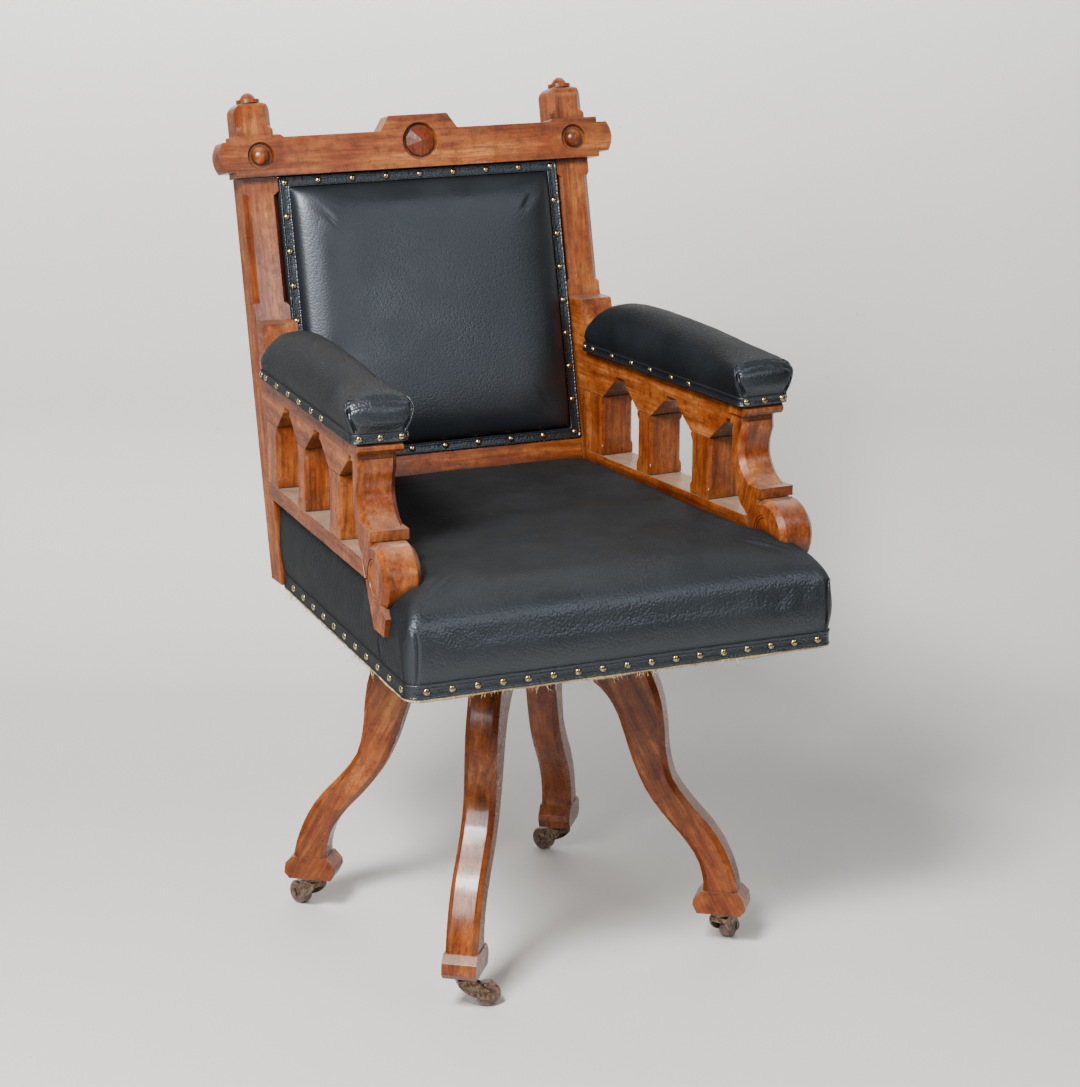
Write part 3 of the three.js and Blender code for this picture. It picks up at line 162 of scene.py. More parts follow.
def unit(vectors):
    """Vectors divided by their lengths."""
    return vectors / np.maximum(np.linalg.norm(vectors, axis=-1, keepdims=True), 1e-12)


def quads_between(index, wrap_rows=False, wrap_columns=True):
    """Four-sided faces between neighbours of a grid of vertex numbers."""
    if wrap_rows:
        index = np.vstack([index, index[:1]])
    if wrap_columns:
        index = np.hstack([index, index[:, :1]])
    return np.stack([index[:-1, :-1], index[:-1, 1:], index[1:, 1:], index[1:, :-1]], -1).reshape(-1, 4)


def piece(name, points, faces, outward=True):
    """A smooth mesh object of the given points and faces, turned outwards and linked to the scene."""
    mesh = bpy.data.meshes.new(name)
    mesh.from_pydata(np.asarray(points).reshape(-1, 3).tolist(), [], faces)
    if outward:
        shell = bmesh.new()
        shell.from_mesh(mesh)
        bmesh.ops.remove_doubles(shell, verts=shell.verts, dist=1e-6)
        bmesh.ops.recalc_face_normals(shell, faces=shell.faces)
        shell.to_mesh(mesh)
        shell.free()
    mesh.polygons.foreach_set("use_smooth", np.ones(len(mesh.polygons), bool))
    made = bpy.data.objects.new(name, mesh)
    bpy.context.scene.collection.objects.link(made)
    return made


def closed_surface(name, rings):
    """Rings of points joined in order by quads, each end closed by a ladder of quads across its ring."""
    rows, columns = rings.shape[:2]
    index = np.arange(rows * columns).reshape(rows, columns)
    half = columns // 2
    faces = quads_between(index).tolist()
    for ring in (index[0], index[-1]):
        back = ring[::-1]
        faces += np.stack([ring[:half - 1], ring[1:half], back[1:half], back[:half - 1]], -1).tolist()
        if columns % 2:
            faces.append(ring[half - 1:half + 2].tolist())
    return piece(name, rings, faces)


def vertices_of(thing):
    """The mesh's own points as one array."""
    flat = np.empty(len(thing.data.vertices) * 3)
    thing.data.vertices.foreach_get("co", flat)
    return flat.reshape(-1, 3)


def set_vertices(thing, points):
    """Writes one array of points back into the mesh."""
    thing.data.vertices.foreach_set("co", np.asarray(points, float).ravel())
    thing.data.update()


def normals_of(thing):
    """The mesh's vertex normals as one array."""
    flat = np.empty(len(thing.data.vertices) * 3)
    thing.data.vertex_normals.foreach_get("vector", flat)
    return flat.reshape(-1, 3)


def ripple(points, lengths_mm, seed):
    """A smooth uneven height from -1 to 1 at each point: the mean of five plane waves of nearly the given
    lengths, whose directions and phases are drawn once from the seed."""
    draw = np.random.default_rng(seed)
    ways = unit(draw.normal(size=(5, 3)))
    waves = 2 * math.pi / (np.asarray(lengths_mm) * MM * draw.uniform(0.75, 1.3, 5))
    return np.sin(points @ (ways * waves[:, None]).T + draw.uniform(0, 2 * math.pi, 5)).mean(-1)


def distance_to(points, line):
    """Each point's distance to a line of short straight runs, and how far along the line it is nearest."""
    start, run = line[:-1], np.diff(line, axis=0)
    length = np.linalg.norm(run, axis=1)
    share = np.clip(np.einsum("vkc,kc->vk", points[:, None] - start, run) / length ** 2, 0, 1)
    gaps = np.linalg.norm(points[:, None] - (start + share[..., None] * run), axis=-1)
    nearest = gaps.argmin(1)
    rows = np.arange(len(points))
    along = np.concatenate([[0], np.cumsum(length)[:-1]])[nearest] + share[rows, nearest] * length[nearest]
    return gaps[rows, nearest], along / length.sum()


def smooth_line(points, count):
    """A curve through a few points, sampled evenly: a Catmull-Rom spline."""
    points = np.asarray(points, float)
    padded = np.vstack([2 * points[0] - points[1], points, 2 * points[-1] - points[-2]])
    t = np.linspace(0, len(points) - 1 - 1e-9, count * 4)
    k = t.astype(int)
    u = (t - k)[:, None]
    a, b, c, d = (padded[k + i] for i in range(4))
    fine = 0.5 * (2 * b + (c - a) * u + (2 * a - 5 * b + 4 * c - d) * u ** 2
                  + (3 * b - a - 3 * c + d) * u ** 3)
    return resampled(fine, count)[0]


def steps_along(line):
    """How far along a line each of its points lies."""
    return np.concatenate([[0], np.cumsum(np.linalg.norm(np.diff(line, axis=0), axis=1))])


def read_at(places, steps, values):
    """The values that go with a line's points, read at other distances along the line."""
    return np.stack([np.interp(places, steps, column) for column in values.T], -1)


def resampled(line, count):
    """Points at even steps along a line, and each one's distance from its start."""
    steps = steps_along(line)
    places = np.linspace(0, steps[-1], count)
    return read_at(places, steps, line), places


def half_width(plan, y):
    """Half the width of a trapezoid at a place between its near and far sides."""
    slope = (plan["far_half"] - plan["near_half"]) / (plan["far"] - plan["near"])
    return plan["near_half"] + slope * (y - plan["near"])


def rounded_rectangle(half, near, far, radius):
    """The plan of a rectangle with rounded corners, as outline takes it."""
    return {"near_half": half, "far_half": half, "near": near, "far": far, "radius": radius}


def outline(plan, insets, corner_steps=9, side_steps=(60, 70, 84, 70)):
    """Rings of a trapezoid with rounded corners, one for each inset, all with the same count of points.

    They run rear, left, front, right. Steps on a side are closer together towards its ends, where the
    position is a mean of an even share and a cosine share.
    """
    inset = np.atleast_1d(np.asarray(insets, float))[:, None]
    radius = np.maximum(plan["radius"] - inset / 2, plan["radius"] / 2)
    near, far = plan["near"] + inset, plan["far"] - inset
    corners = []
    for quarter, (side, y, toward) in enumerate(((1, far, -1), (-1, far, -1), (-1, near, 1), (1, near, 1))):
        half = half_width(plan, y) - inset
        angle = (quarter + np.linspace(0, 1, corner_steps)[None]) * math.pi / 2
        corners.append(np.stack([side * (half - radius) + radius * np.cos(angle),
                                 y + toward * radius + radius * np.sin(angle)], -1))
    runs = []
    for k, steps in enumerate(side_steps):
        even = np.linspace(0, 1, steps + 1)[1:-1]
        share = (0.5 * even + 0.25 * (1 - np.cos(math.pi * even)))[None, :, None]
        last, first = corners[k][:, -1:], corners[(k + 1) % 4][:, :1]
        runs += [corners[k], last + (first - last) * share]
    return np.concatenate(runs, axis=1)


def risen(distance, reach):
    """A rounded edge's share of its full height: a superellipse of the distance in from the border."""
    inward = np.clip(distance / reach, 0, 1)
    return (1 - (1 - inward) ** DOME_SQUARENESS) ** (1 / DOME_SQUARENESS)


def blended(first, second):
    """Two rounded edges met at a corner: one less the length of what each still lacks."""
    return np.maximum(0, 1 - np.hypot(1 - first, 1 - second))


def stuffed_out(cushion, held, reach_mm):
    """Swells a cushion as its stuffing does: cloth under pressure, held at the nailed parts. No point moves
    further than the reach."""
    start = vertices_of(cushion)
    group = cushion.vertex_groups.new(name="nailed")
    for vertex in np.flatnonzero(held):
        group.add([int(vertex)], 1.0, "ADD")
    cloth = cushion.modifiers.new("stuffing", "CLOTH")
    cloth.settings.vertex_group_mass = "nailed"
    cloth.settings.use_pressure = True
    cloth.settings.uniform_pressure_force = STUFFING_PRESSURE
    cloth.settings.quality = 4
    cloth.settings.tension_stiffness = 30
    cloth.settings.compression_stiffness = 30
    cloth.settings.bending_stiffness = 2
    cloth.settings.effector_weights.gravity = 0
    cloth.collision_settings.use_collision = False
    cloth.point_cache.frame_start, cloth.point_cache.frame_end = 1, STUFFING_FRAMES
    scene = bpy.context.scene
    for number in range(1, STUFFING_FRAMES + 1):
        scene.frame_set(number)
    swollen = cushion.evaluated_get(bpy.context.evaluated_depsgraph_get()).to_mesh()
    moved = np.empty(len(swollen.vertices) * 3)
    swollen.vertices.foreach_get("co", moved)
    step = moved.reshape(-1, 3) - start
    cushion.to_mesh_clear()
    cushion.modifiers.clear()
    cushion.vertex_groups.clear()
    scene.frame_set(1)
    size = np.linalg.norm(step, axis=1, keepdims=True)
    step *= np.minimum(1, reach_mm * MM / np.maximum(size, 1e-9))
    set_vertices(cushion, start + step)
    smoothed(cushion)


def smoothed(thing):
    """One level of subdivision, applied."""
    thing.modifiers.new("smooth", "SUBSURF").levels = 1
    thing.modifiers["smooth"].render_levels = 1
    with bpy.context.temp_override(object=thing, active_object=thing):
        bpy.ops.object.modifier_apply(modifier="smooth")
    thing.data.polygons.foreach_set("use_smooth", np.ones(len(thing.data.polygons), bool))


def pressed(cushion, line, depth_mm, width_mm, lift_mm=0.0, aside=(0, 0, 0)):
    """Sinks a groove into a cushion along a line, and raises a lip beside it.

    Each point goes in along its normal by the depth times a bell of its distance to the line, and out by
    the lift times a bell of its distance to the same line moved aside. Both fade at the line's ends.
    """
    points, normals = vertices_of(cushion), normals_of(cushion)
    near = np.flatnonzero(np.linalg.norm(points - line.mean(0), axis=1)
                          < np.linalg.norm(line - line.mean(0), axis=1).max() + 8 * width_mm * MM)
    move = np.zeros(len(points))
    for amount, place in ((-depth_mm, line), (lift_mm, line + np.asarray(aside) * MM)):
        gap, along = distance_to(points[near], place)
        fade = np.clip(np.minimum(along, 1 - along) / 0.08, 0.15, 1)
        move[near] += amount * MM * np.exp(-(gap / (width_mm * MM)) ** 2) * fade
    set_vertices(cushion, points + normals * move[:, None])


def softened(part, width_mm=0.8, smooth_deg=28):
    """Rounds a hard part's arrises and shades it smooth, as years of handling do: its triangles are
    welded and its flat faces joined, then edges turned by over 32 degrees get a small bevel."""
    part.modifiers.new("weld", "WELD").merge_threshold = 2e-5
    flat = part.modifiers.new("flat faces", "DECIMATE")
    flat.decimate_type = "DISSOLVE"
    flat.angle_limit = math.radians(0.8)
    edge = part.modifiers.new("worn arris", "BEVEL")
    edge.width = width_mm * MM
    edge.segments = 2
    edge.limit_method = "ANGLE"
    edge.angle_limit = math.radians(32)
    edge.harden_normals = False
    shade = part.modifiers.new("smooth shading", "NODES")
    shade.node_group = smooth_shading(smooth_deg)
    level = part.modifiers.new("flat faces shade flat", "WEIGHTED_NORMAL")
    level.keep_sharp = True


def smooth_shading(smooth_deg):
    """A geometry node group that shades faces smooth but keeps edges turned by more than an angle sharp."""
    name = f"smooth shading below {smooth_deg} degrees"
    group = bpy.data.node_groups.get(name)
    if group:
        return group
    group = bpy.data.node_groups.new(name, "GeometryNodeTree")
    group.interface.new_socket("Geometry", in_out="INPUT", socket_type="NodeSocketGeometry")
    group.interface.new_socket("Geometry", in_out="OUTPUT", socket_type="NodeSocketGeometry")
    start = add_node(group, "NodeGroupInput")
    angle = add_node(group, "GeometryNodeInputMeshEdgeAngle")
    sharp = add_node(group, "FunctionNodeCompare", {0: angle, 1: math.radians(smooth_deg)},
                     data_type="FLOAT", operation="GREATER_THAN")
    faces = add_node(group, "GeometryNodeSetShadeSmooth", {"Geometry": start, "Shade Smooth": True},
                     domain="FACE")
    edges = add_node(group, "GeometryNodeSetShadeSmooth",
                     {"Geometry": faces, "Selection": sharp, "Shade Smooth": False}, domain="EDGE")
    add_node(group, "NodeGroupOutput", {0: edges})
    return group


def painted(thing, material):
    """Gives a mesh one material in place of what it had."""
    thing.data.materials.clear()
    thing.data.materials.append(material)


def dressed(made, body, material, stands_for=()):
    """Gives a made piece its material, the body that carries it and what it stands for."""
    painted(made, material)
    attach(made, body)
    if stands_for:
        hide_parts(*stands_for)
    return made


def add_node(tree, kind, inputs=(), stops=(), **settings):
    """Adds a node with its settings, colour stops, and each input's value or link.

    A kind without Node in its name is a shader node's. A link is a socket, or a node, which means its
    first output in use.
    """
    made = tree.nodes.new(kind if "Node" in kind else "ShaderNode" + kind)
    for name, value in settings.items():
        setattr(made, name, value)
    for number, (position, colour) in enumerate(stops):
        elements = made.color_ramp.elements
        element = elements[number] if number < 2 else elements.new(position)
        element.position = position
        element.color = linear(colour) if isinstance(colour, str) else colour
    for name, value in dict(inputs).items():
        if isinstance(value, bpy.types.Node):
            value = next(socket for socket in value.outputs if socket.enabled)
        if isinstance(value, bpy.types.NodeSocket):
            tree.links.new(value, made.inputs[name])
        else:
            made.inputs[name].default_value = value
    return made


def fresh_material(name):
    """A new material, its empty node tree, and the sockets of its object coordinates and normal."""
    material = bpy.data.materials.new(name)
    material.use_nodes = True
    tree = material.node_tree
    tree.nodes.clear()
    texture = add_node(tree, "TexCoord")
    return material, tree, texture.outputs["Object"], texture.outputs["Normal"]


def per_mm(size_mm):
    """The texture scale at which one feature has that size, since a texture's unit here is a metre."""
    return 1 / (size_mm * MM)


def dust_share(tree, place, normal, amount, patch_mm=35):
    """How dusty a point is: more where the surface faces up, in patches and specks."""
    facing = add_node(tree, "SeparateXYZ", {0: normal}).outputs["Z"]
    upward = add_node(tree, "MapRange", {0: facing, 1: 0.55, 2: 1.0, 3: 0.0, 4: amount})
    patch = add_node(tree, "TexNoise", {"Vector": place, "Scale": per_mm(patch_mm), "Detail": 5,
                                        "Roughness": 0.65})
    spread = add_node(tree, "MapRange", {0: patch, 1: 0.3, 2: 0.75, 3: 0.5, 4: 1.2})
    return add_node(tree, "Math", {0: upward, 1: spread}, operation="MULTIPLY", use_clamp=True)


def grained_leather(name, colour, dust=0.03, grain_mm=2.4, depth=0.6, roughness=(0.34, 0.46)):
    """Black upholstery leathercloth, embossed with a pebble and finished satin. The eye sees near-black
    with a cool sheen, broken up by the pebble. Faces turned to the front get a painted sheen: a
    blue-black colour of their own in place of the dusty hide colour, with a stronger specular and less
    roughness. The rest is duller, with a thin haze of dust on what faces up and a few pale specks."""
    material, tree, place, normal = fresh_material(name)
    wander = add_node(tree, "TexNoise", {"Vector": place, "Scale": per_mm(3.2), "Detail": 2})
    bent = add_node(tree, "VectorMath", {0: wander.outputs["Color"], 1: (0.3 * MM,) * 3, 2: place},
                    operation="MULTIPLY_ADD")
    pebble = add_node(tree, "TexVoronoi", {"Vector": bent, "Scale": per_mm(grain_mm), "Smoothness": 0.25},
                      feature="SMOOTH_F1")
    mound = add_node(tree, "Math", {0: pebble, 1: 2.0}, operation="POWER")
    pore = add_node(tree, "TexNoise", {"Vector": place, "Scale": per_mm(1.1), "Detail": 2})
    pores = add_node(tree, "Math", {0: pore, 1: 0.25}, operation="MULTIPLY")
    height = add_node(tree, "Math", {0: mound, 1: -1.6, 2: pores}, operation="MULTIPLY_ADD")
    bump = add_node(tree, "Bump", {"Height": height, "Distance": 0.7 * MM, "Strength": depth})
    settled = dust_share(tree, place, normal, dust)
    lint = add_node(tree, "TexVoronoi", {"Vector": bent, "Scale": per_mm(26)})
    speck = add_node(tree, "MapRange", {0: lint, 1: 0.02, 2: 0.045, 3: 0.5, 4: 0.0})
    open_to_dust = add_node(tree, "Math", {0: settled, 1: 1 / max(dust, 0.01)}, operation="MULTIPLY",
                            use_clamp=True)
    specks = add_node(tree, "Math", {0: speck, 1: open_to_dust}, operation="MULTIPLY")
    dusty = add_node(tree, "Math", {0: settled, 1: specks}, operation="MAXIMUM")
    hide = add_node(tree, "TexNoise", {"Vector": place, "Scale": per_mm(60), "Detail": 3})
    shade = add_node(tree, "ValToRGB", {0: hide}, stops=((0.3, "#0d0f10"), (0.7, colour)))
    # Painted sheen: faces turned to the front (normal towards -Y) take the blue-black #111416, a stronger
    # specular and less roughness, standing for the light on the fronts.
    facing = add_node(tree, "SeparateXYZ", {0: normal}).outputs["Y"]
    front_sheen = add_node(tree, "MapRange", {0: facing, 1: -0.15, 2: -0.8, 3: 0.0, 4: 1.0})
    dull_colour = add_node(tree, "Mix", {0: dusty, 6: shade, 7: linear("#8a867c")}, data_type="RGBA")
    base = add_node(tree, "Mix", {0: front_sheen, 6: dull_colour, 7: linear("#111416")}, data_type="RGBA")
    sheen = add_node(tree, "MapRange", {0: hide, 1: 0.3, 2: 0.7, 3: roughness[0], 4: roughness[1]})
    dull = add_node(tree, "MapRange", {0: front_sheen, 3: 0.28, 4: 0.0})
    rough = add_node(tree, "Math", {0: sheen, 1: dull}, operation="ADD")
    rough = add_node(tree, "Math", {0: dusty, 1: 1.5, 2: rough}, operation="MULTIPLY_ADD", use_clamp=True)
    strength = add_node(tree, "MapRange", {0: front_sheen, 3: 0.14, 4: 0.75})
    shader = add_node(tree, "BsdfPrincipled", {"Base Color": base, "Roughness": rough, "Normal": bump,
                                               "IOR": 1.5, "Specular IOR Level": strength,
                                               "Specular Tint": linear("#dfe8f6")})
    add_node(tree, "OutputMaterial", {"Surface": shader})
    return material


def polished_oak(name, grain, tones, seed=0, dust=0.25, roughness=(0.26, 0.38)):
    """Oak sawn on the plain, stained and French polished, now worn and grubby. The eye sees a warm
    orange-brown ground with darker growth bands and fine dark pores along the grain, patches where the
    polish has gone dark or thin, sides rubbed matt, a broken gloss and dust on the ledges. Corners and
    recesses are darkened with painted shade, read from ambient occlusion."""
    material, tree, coordinates, normal = fresh_material(name)
    turn = Vector(grain).rotation_difference(Vector((0, 0, 1))).to_euler()
    place = add_node(tree, "Mapping", {"Vector": coordinates, "Rotation": tuple(turn),
                                       "Location": (0.37 * seed, 0.21 * seed, 0.53 * seed)})
    along = add_node(tree, "Mapping", {"Vector": place, "Scale": (1, 1, 0.07)})
    streak = add_node(tree, "Mapping", {"Vector": place, "Scale": (1, 1, 0.055)})
    drift = add_node(tree, "TexNoise", {"Vector": along, "Scale": per_mm(22), "Detail": 3})
    bands = add_node(tree, "TexNoise", {"Vector": along, "Scale": per_mm(5), "Detail": 5,
                                        "Roughness": 0.62, "Distortion": 0.5})
    pores = add_node(tree, "TexNoise", {"Vector": streak, "Scale": per_mm(1.15), "Detail": 3,
                                        "Roughness": 0.6})
    patch = add_node(tree, "TexNoise", {"Vector": place, "Scale": per_mm(48), "Detail": 6,
                                        "Roughness": 0.62})
    mottle = add_node(tree, "TexNoise", {"Vector": place, "Scale": per_mm(9), "Detail": 5,
                                         "Roughness": 0.7})
    half_drift = add_node(tree, "Math", {0: drift, 1: 0.5}, operation="MULTIPLY")
    figure = add_node(tree, "Math", {0: bands, 1: 0.5, 2: half_drift}, operation="MULTIPLY_ADD")
    dark, ground, warm, light = tones
    wood = add_node(tree, "ValToRGB", {0: figure},
                    stops=((0.3, dark), (0.72, light), (0.43, ground), (0.57, warm)))
    thin = add_node(tree, "Mix", {0: 1.0, 6: wood, 7: linear("#b0682f")}, data_type="RGBA",
                    blend_type="MULTIPLY")
    worn = add_node(tree, "MapRange", {0: patch, 1: 0.36, 2: 0.66, 3: 0.0, 4: 0.75})
    grime = add_node(tree, "MapRange", {0: mottle, 1: 0.48, 2: 0.72, 3: 0.0, 4: 0.65})
    line = add_node(tree, "MapRange", {0: pores, 1: 0.56, 2: 0.68, 3: 0.0, 4: 0.6})
    # Painted shade: ambient occlusion within 9 mm darkens corners and recesses towards #2c1409.
    occlusion_for_painted_shade = add_node(tree, "AmbientOcclusion", {"Distance": 9 * MM}, samples=8).outputs["AO"]
    corner = add_node(tree, "MapRange", {0: occlusion_for_painted_shade, 1: 0.25, 2: 0.95, 3: 0.75, 4: 0.0})
    dusty = dust_share(tree, coordinates, normal, dust, 18)
    for share, layer in ((worn, thin), (grime, tuple(dark)), (line, linear("#3a1a0c")),
                         (corner, linear("#2c1409")), (dusty, linear("#857b69"))):
        wood = add_node(tree, "Mix", {0: share, 6: wood, 7: layer}, data_type="RGBA")
    gloss = add_node(tree, "MapRange", {0: mottle, 1: 0.35, 2: 0.7, 3: roughness[0], 4: roughness[1]})
    rough = add_node(tree, "Math", {0: dusty, 1: 0.7, 2: gloss}, operation="MULTIPLY_ADD", use_clamp=True)
    swell = add_node(tree, "Math", {0: mottle, 1: 0.15}, operation="MULTIPLY")
    sunk = add_node(tree, "Math", {0: line, 1: -0.6, 2: swell}, operation="MULTIPLY_ADD")
    bump = add_node(tree, "Bump", {"Height": sunk, "Distance": 0.6 * MM, "Strength": 0.3})
    side = add_node(tree, "SeparateXYZ", {0: normal}).outputs["X"]
    rubbed = add_node(tree, "MapRange", {0: side, 1: -0.9, 2: -0.4, 3: 0.1, 4: 1.0})
    strength = add_node(tree, "Math", {0: rubbed, 1: 0.35}, operation="MULTIPLY")
    coat = add_node(tree, "Math", {0: rubbed, 1: 0.2}, operation="MULTIPLY")
    shader = add_node(tree, "BsdfPrincipled", {"Base Color": wood, "Roughness": rough, "Normal": bump,
                                               "IOR": 1.5, "Specular IOR Level": strength,
                                               "Coat Weight": coat, "Coat Roughness": 0.14})
    add_node(tree, "OutputMaterial", {"Surface": shader})
    return material


def bare_wood(name):
    """Rough sawn deal inside the seat, never finished: pale, dry and dusty."""
    material, tree, place, _ = fresh_material(name)
    along = add_node(tree, "Mapping", {"Vector": place, "Scale": (0.08, 1, 1)})
    bands = add_node(tree, "TexNoise", {"Vector": along, "Scale": per_mm(5), "Detail": 5})
    wood = add_node(tree, "ValToRGB", {0: bands}, stops=((0.35, "#7b5a3a"), (0.65, "#a98558")))
    bump = add_node(tree, "Bump", {"Height": bands, "Distance": 0.5 * MM, "Strength": 0.4})
    shader = add_node(tree, "BsdfPrincipled", {"Base Color": wood, "Roughness": 0.8, "Normal": bump})
    add_node(tree, "OutputMaterial", {"Surface": shader})
    return material


def old_metal(name, bright, dull, metallic=0.9, roughness=(0.32, 0.6), spot_mm=5, bump_mm=0.15):
    """Cast or stamped metal gone dull in the air: bright where it is rubbed, with brown patches of
    tarnish and a slightly pitted skin."""
    material, tree, place, _ = fresh_material(name)
    spots = add_node(tree, "TexNoise", {"Vector": place, "Scale": per_mm(spot_mm), "Detail": 6,
                                        "Roughness": 0.68})
    shade = add_node(tree, "ValToRGB", {0: spots}, stops=((0.38, bright), (0.62, dull)))
    rough = add_node(tree, "MapRange", {0: spots, 1: 0.35, 2: 0.65, 3: roughness[0], 4: roughness[1]})
    bump = add_node(tree, "Bump", {"Height": spots, "Distance": bump_mm * MM, "Strength": 0.5})
    shader = add_node(tree, "BsdfPrincipled", {"Base Color": shade, "Roughness": rough, "Normal": bump,
                                               "Metallic": metallic})
    add_node(tree, "OutputMaterial", {"Surface": shader})
    return material


def glazed_ware(name):
    """Brown vitrified ceramic, turned and salt glazed: deep brown, mottled, with a glassy skin worn at
    the tread."""
    material, tree, place, _ = fresh_material(name)
    spots = add_node(tree, "TexNoise", {"Vector": place, "Scale": per_mm(4), "Detail": 5})
    shade = add_node(tree, "ValToRGB", {0: spots}, stops=((0.35, "#3a211b"), (0.68, "#6b463c")))
    rough = add_node(tree, "MapRange", {0: spots, 1: 0.3, 2: 0.7, 3: 0.25, 4: 0.5})
    shader = add_node(tree, "BsdfPrincipled", {"Base Color": shade, "Roughness": rough,
                                               "Coat Weight": 0.4, "Coat Roughness": 0.15})
    add_node(tree, "OutputMaterial", {"Surface": shader})
    return material


def woven_hessian(name, paler=1.0):
    """Plain woven jute, unbleached: straw-brown threads about 1.6 mm apart over and under, with slubs."""
    material, tree, place, _ = fresh_material(name)
    warp, weft = (add_node(tree, "TexWave", {"Vector": place, "Scale": math.pi / 10 * per_mm(1.6),
                                             "Distortion": 1.5, "Detail Scale": 2.0},
                           bands_direction=way).outputs["Fac"] for way in "XY")
    weave = add_node(tree, "Math", {0: warp, 1: weft}, operation="MAXIMUM")
    slub = add_node(tree, "TexNoise", {"Vector": place, "Scale": per_mm(12), "Detail": 4})
    straw = add_node(tree, "Math", {0: weave, 1: slub}, operation="MULTIPLY")
    shade = add_node(tree, "ValToRGB", {0: straw},
                     stops=((0.15 / paler, "#6d5a3e"), (0.6 / paler, "#cbb68c")))
    bump = add_node(tree, "Bump", {"Height": weave, "Distance": 0.6 * MM, "Strength": 0.8})
    shader = add_node(tree, "BsdfPrincipled", {"Base Color": shade, "Roughness": 0.92, "Normal": bump})
    add_node(tree, "OutputMaterial", {"Surface": shader})
    return material


def studio_paint(name, colour, speck):
    """Matt painted studio floor and wall: pale grey with faint scuffs and a few specks of dust. It is
    clear when seen from behind, so that the wall doesn't hide the chair in views from the back."""
    material, tree, place, _ = fresh_material(name)
    cloud = add_node(tree, "TexNoise", {"Vector": place, "Scale": per_mm(420), "Detail": 6})
    grit = add_node(tree, "TexNoise", {"Vector": place, "Scale": per_mm(16), "Detail": 3})
    dot = add_node(tree, "MapRange", {0: grit, 1: 0.74, 2: 0.78, 3: 0.0, 4: 0.25})
    scuff = add_node(tree, "Mix", {0: 0.06, 6: linear(colour), 7: linear(speck)}, data_type="RGBA")
    paint = add_node(tree, "Mix", {0: cloud, 6: linear(colour), 7: scuff}, data_type="RGBA")
    paint = add_node(tree, "Mix", {0: dot, 6: paint, 7: linear(speck)}, data_type="RGBA")
    shader = add_node(tree, "BsdfPrincipled", {"Base Color": paint, "Roughness": 0.65})
    behind = add_node(tree, "NewGeometry").outputs["Backfacing"]
    seen = add_node(tree, "MixShader", {0: behind, 1: shader, 2: add_node(tree, "BsdfTransparent")})
    add_node(tree, "OutputMaterial", {"Surface": seen})
    return material


def seat_height(x, y):
    """The stuffed seat's height: its shoulder, then the crown, rounded from the sides and the front."""
    sides = risen(half_width(SEAT_PLAN_MM, y) - np.abs(x), SEAT_SIDE_REACH_MM)
    front = risen(y - SEAT_PLAN_MM["near"], SEAT_REACH_MM)
    return SEAT_SHOULDER_MM + (SEAT_CROWN_MM - SEAT_SHOULDER_MM) * blended(sides, front)


def seat_rings():
    """Rings of the seat's leather, from the middle of its underside, round the frame and up to the crown.

    Below the shoulder each ring has a set height and inset. Above it the inset grows by a power law, so
    that the rings are close at the edge, and the height is that of the stuffing. The last rings shrink
    towards the middle. Nothing passes the raked faces of the back.
    """
    skirt = [(RAIL_INSET_MM, RAIL_TOP_MM), (RAIL_INSET_MM, 430), (RAIL_INSET_MM, SEAT_FOOT_MM + 0.6),
             (SKIN_INSET_MM + 0.4, SEAT_FOOT_MM + 0.2), (SKIN_INSET_MM, 408), (SKIN_INSET_MM, 414)]
    heights = np.linspace(SEAT_BAND_TOP_MM, SEAT_SHOULDER_MM, 8)
    share = (heights - heights[0]) / (heights[-1] - heights[0])
    swell = SKIN_INSET_MM * (1 - share) - 2.0 * np.sin(math.pi * share)
    skirt += list(zip(swell, heights))
    insets, levels = np.array(skirt).T
    low = outline(SEAT_PLAN_MM, insets)
    low = np.concatenate([low, np.broadcast_to(levels[:, None, None], low.shape[:2] + (1,))], -1)
    dome_insets = 185 * np.linspace(0.03, 1, 34) ** 1.7
    dome = outline(SEAT_PLAN_MM, dome_insets)
    shrink = np.linspace(1, 0, 8)[1:-1, None, None]
    middle = dome[-1].mean(0)
    dome = np.concatenate([dome, middle + (dome[-1:] - middle) * shrink])
    dome = np.concatenate([dome, seat_height(dome[..., 0], dome[..., 1])[..., None]], -1)
    ceiling = low[:1].copy()
    ceiling[..., :2] = middle + (ceiling[..., :2] - middle) * 0.5
    rings = np.concatenate([ceiling, low, dome])
    rake_face = STILE_FRONT_MM - 0.5 + (rings[..., 2] - STILE_FOOT_MM) * math.tan(RAKE)
    rings[..., 1] = np.minimum(rings[..., 1], rake_face)
    for side in SIDES.values():
        under = (across_arm(rings, side) > -ARM_HALF_MM - 1) & (rings[..., 1] > SILL_FRONT_MM)
        rings[..., 2] = np.where(under, np.minimum(rings[..., 2], SILL_FOOT_MM - 0.5), rings[..., 2])
    return rings


def tucked(cushion, nodes):
    """Moves what would lie inside a neighbour to just outside its nearest face."""
    for node in nodes:
        wrap = cushion.modifiers.new(node, "SHRINKWRAP")
        wrap.target = frame["nodes"][node]
        wrap.wrap_method = "NEAREST_SURFACEPOINT"
        wrap.wrap_mode = "OUTSIDE"
        wrap.offset = TUCK_GAP_MM * MM
        with bpy.context.temp_override(object=cushion, active_object=cushion):
            bpy.ops.object.modifier_apply(modifier=wrap.name)


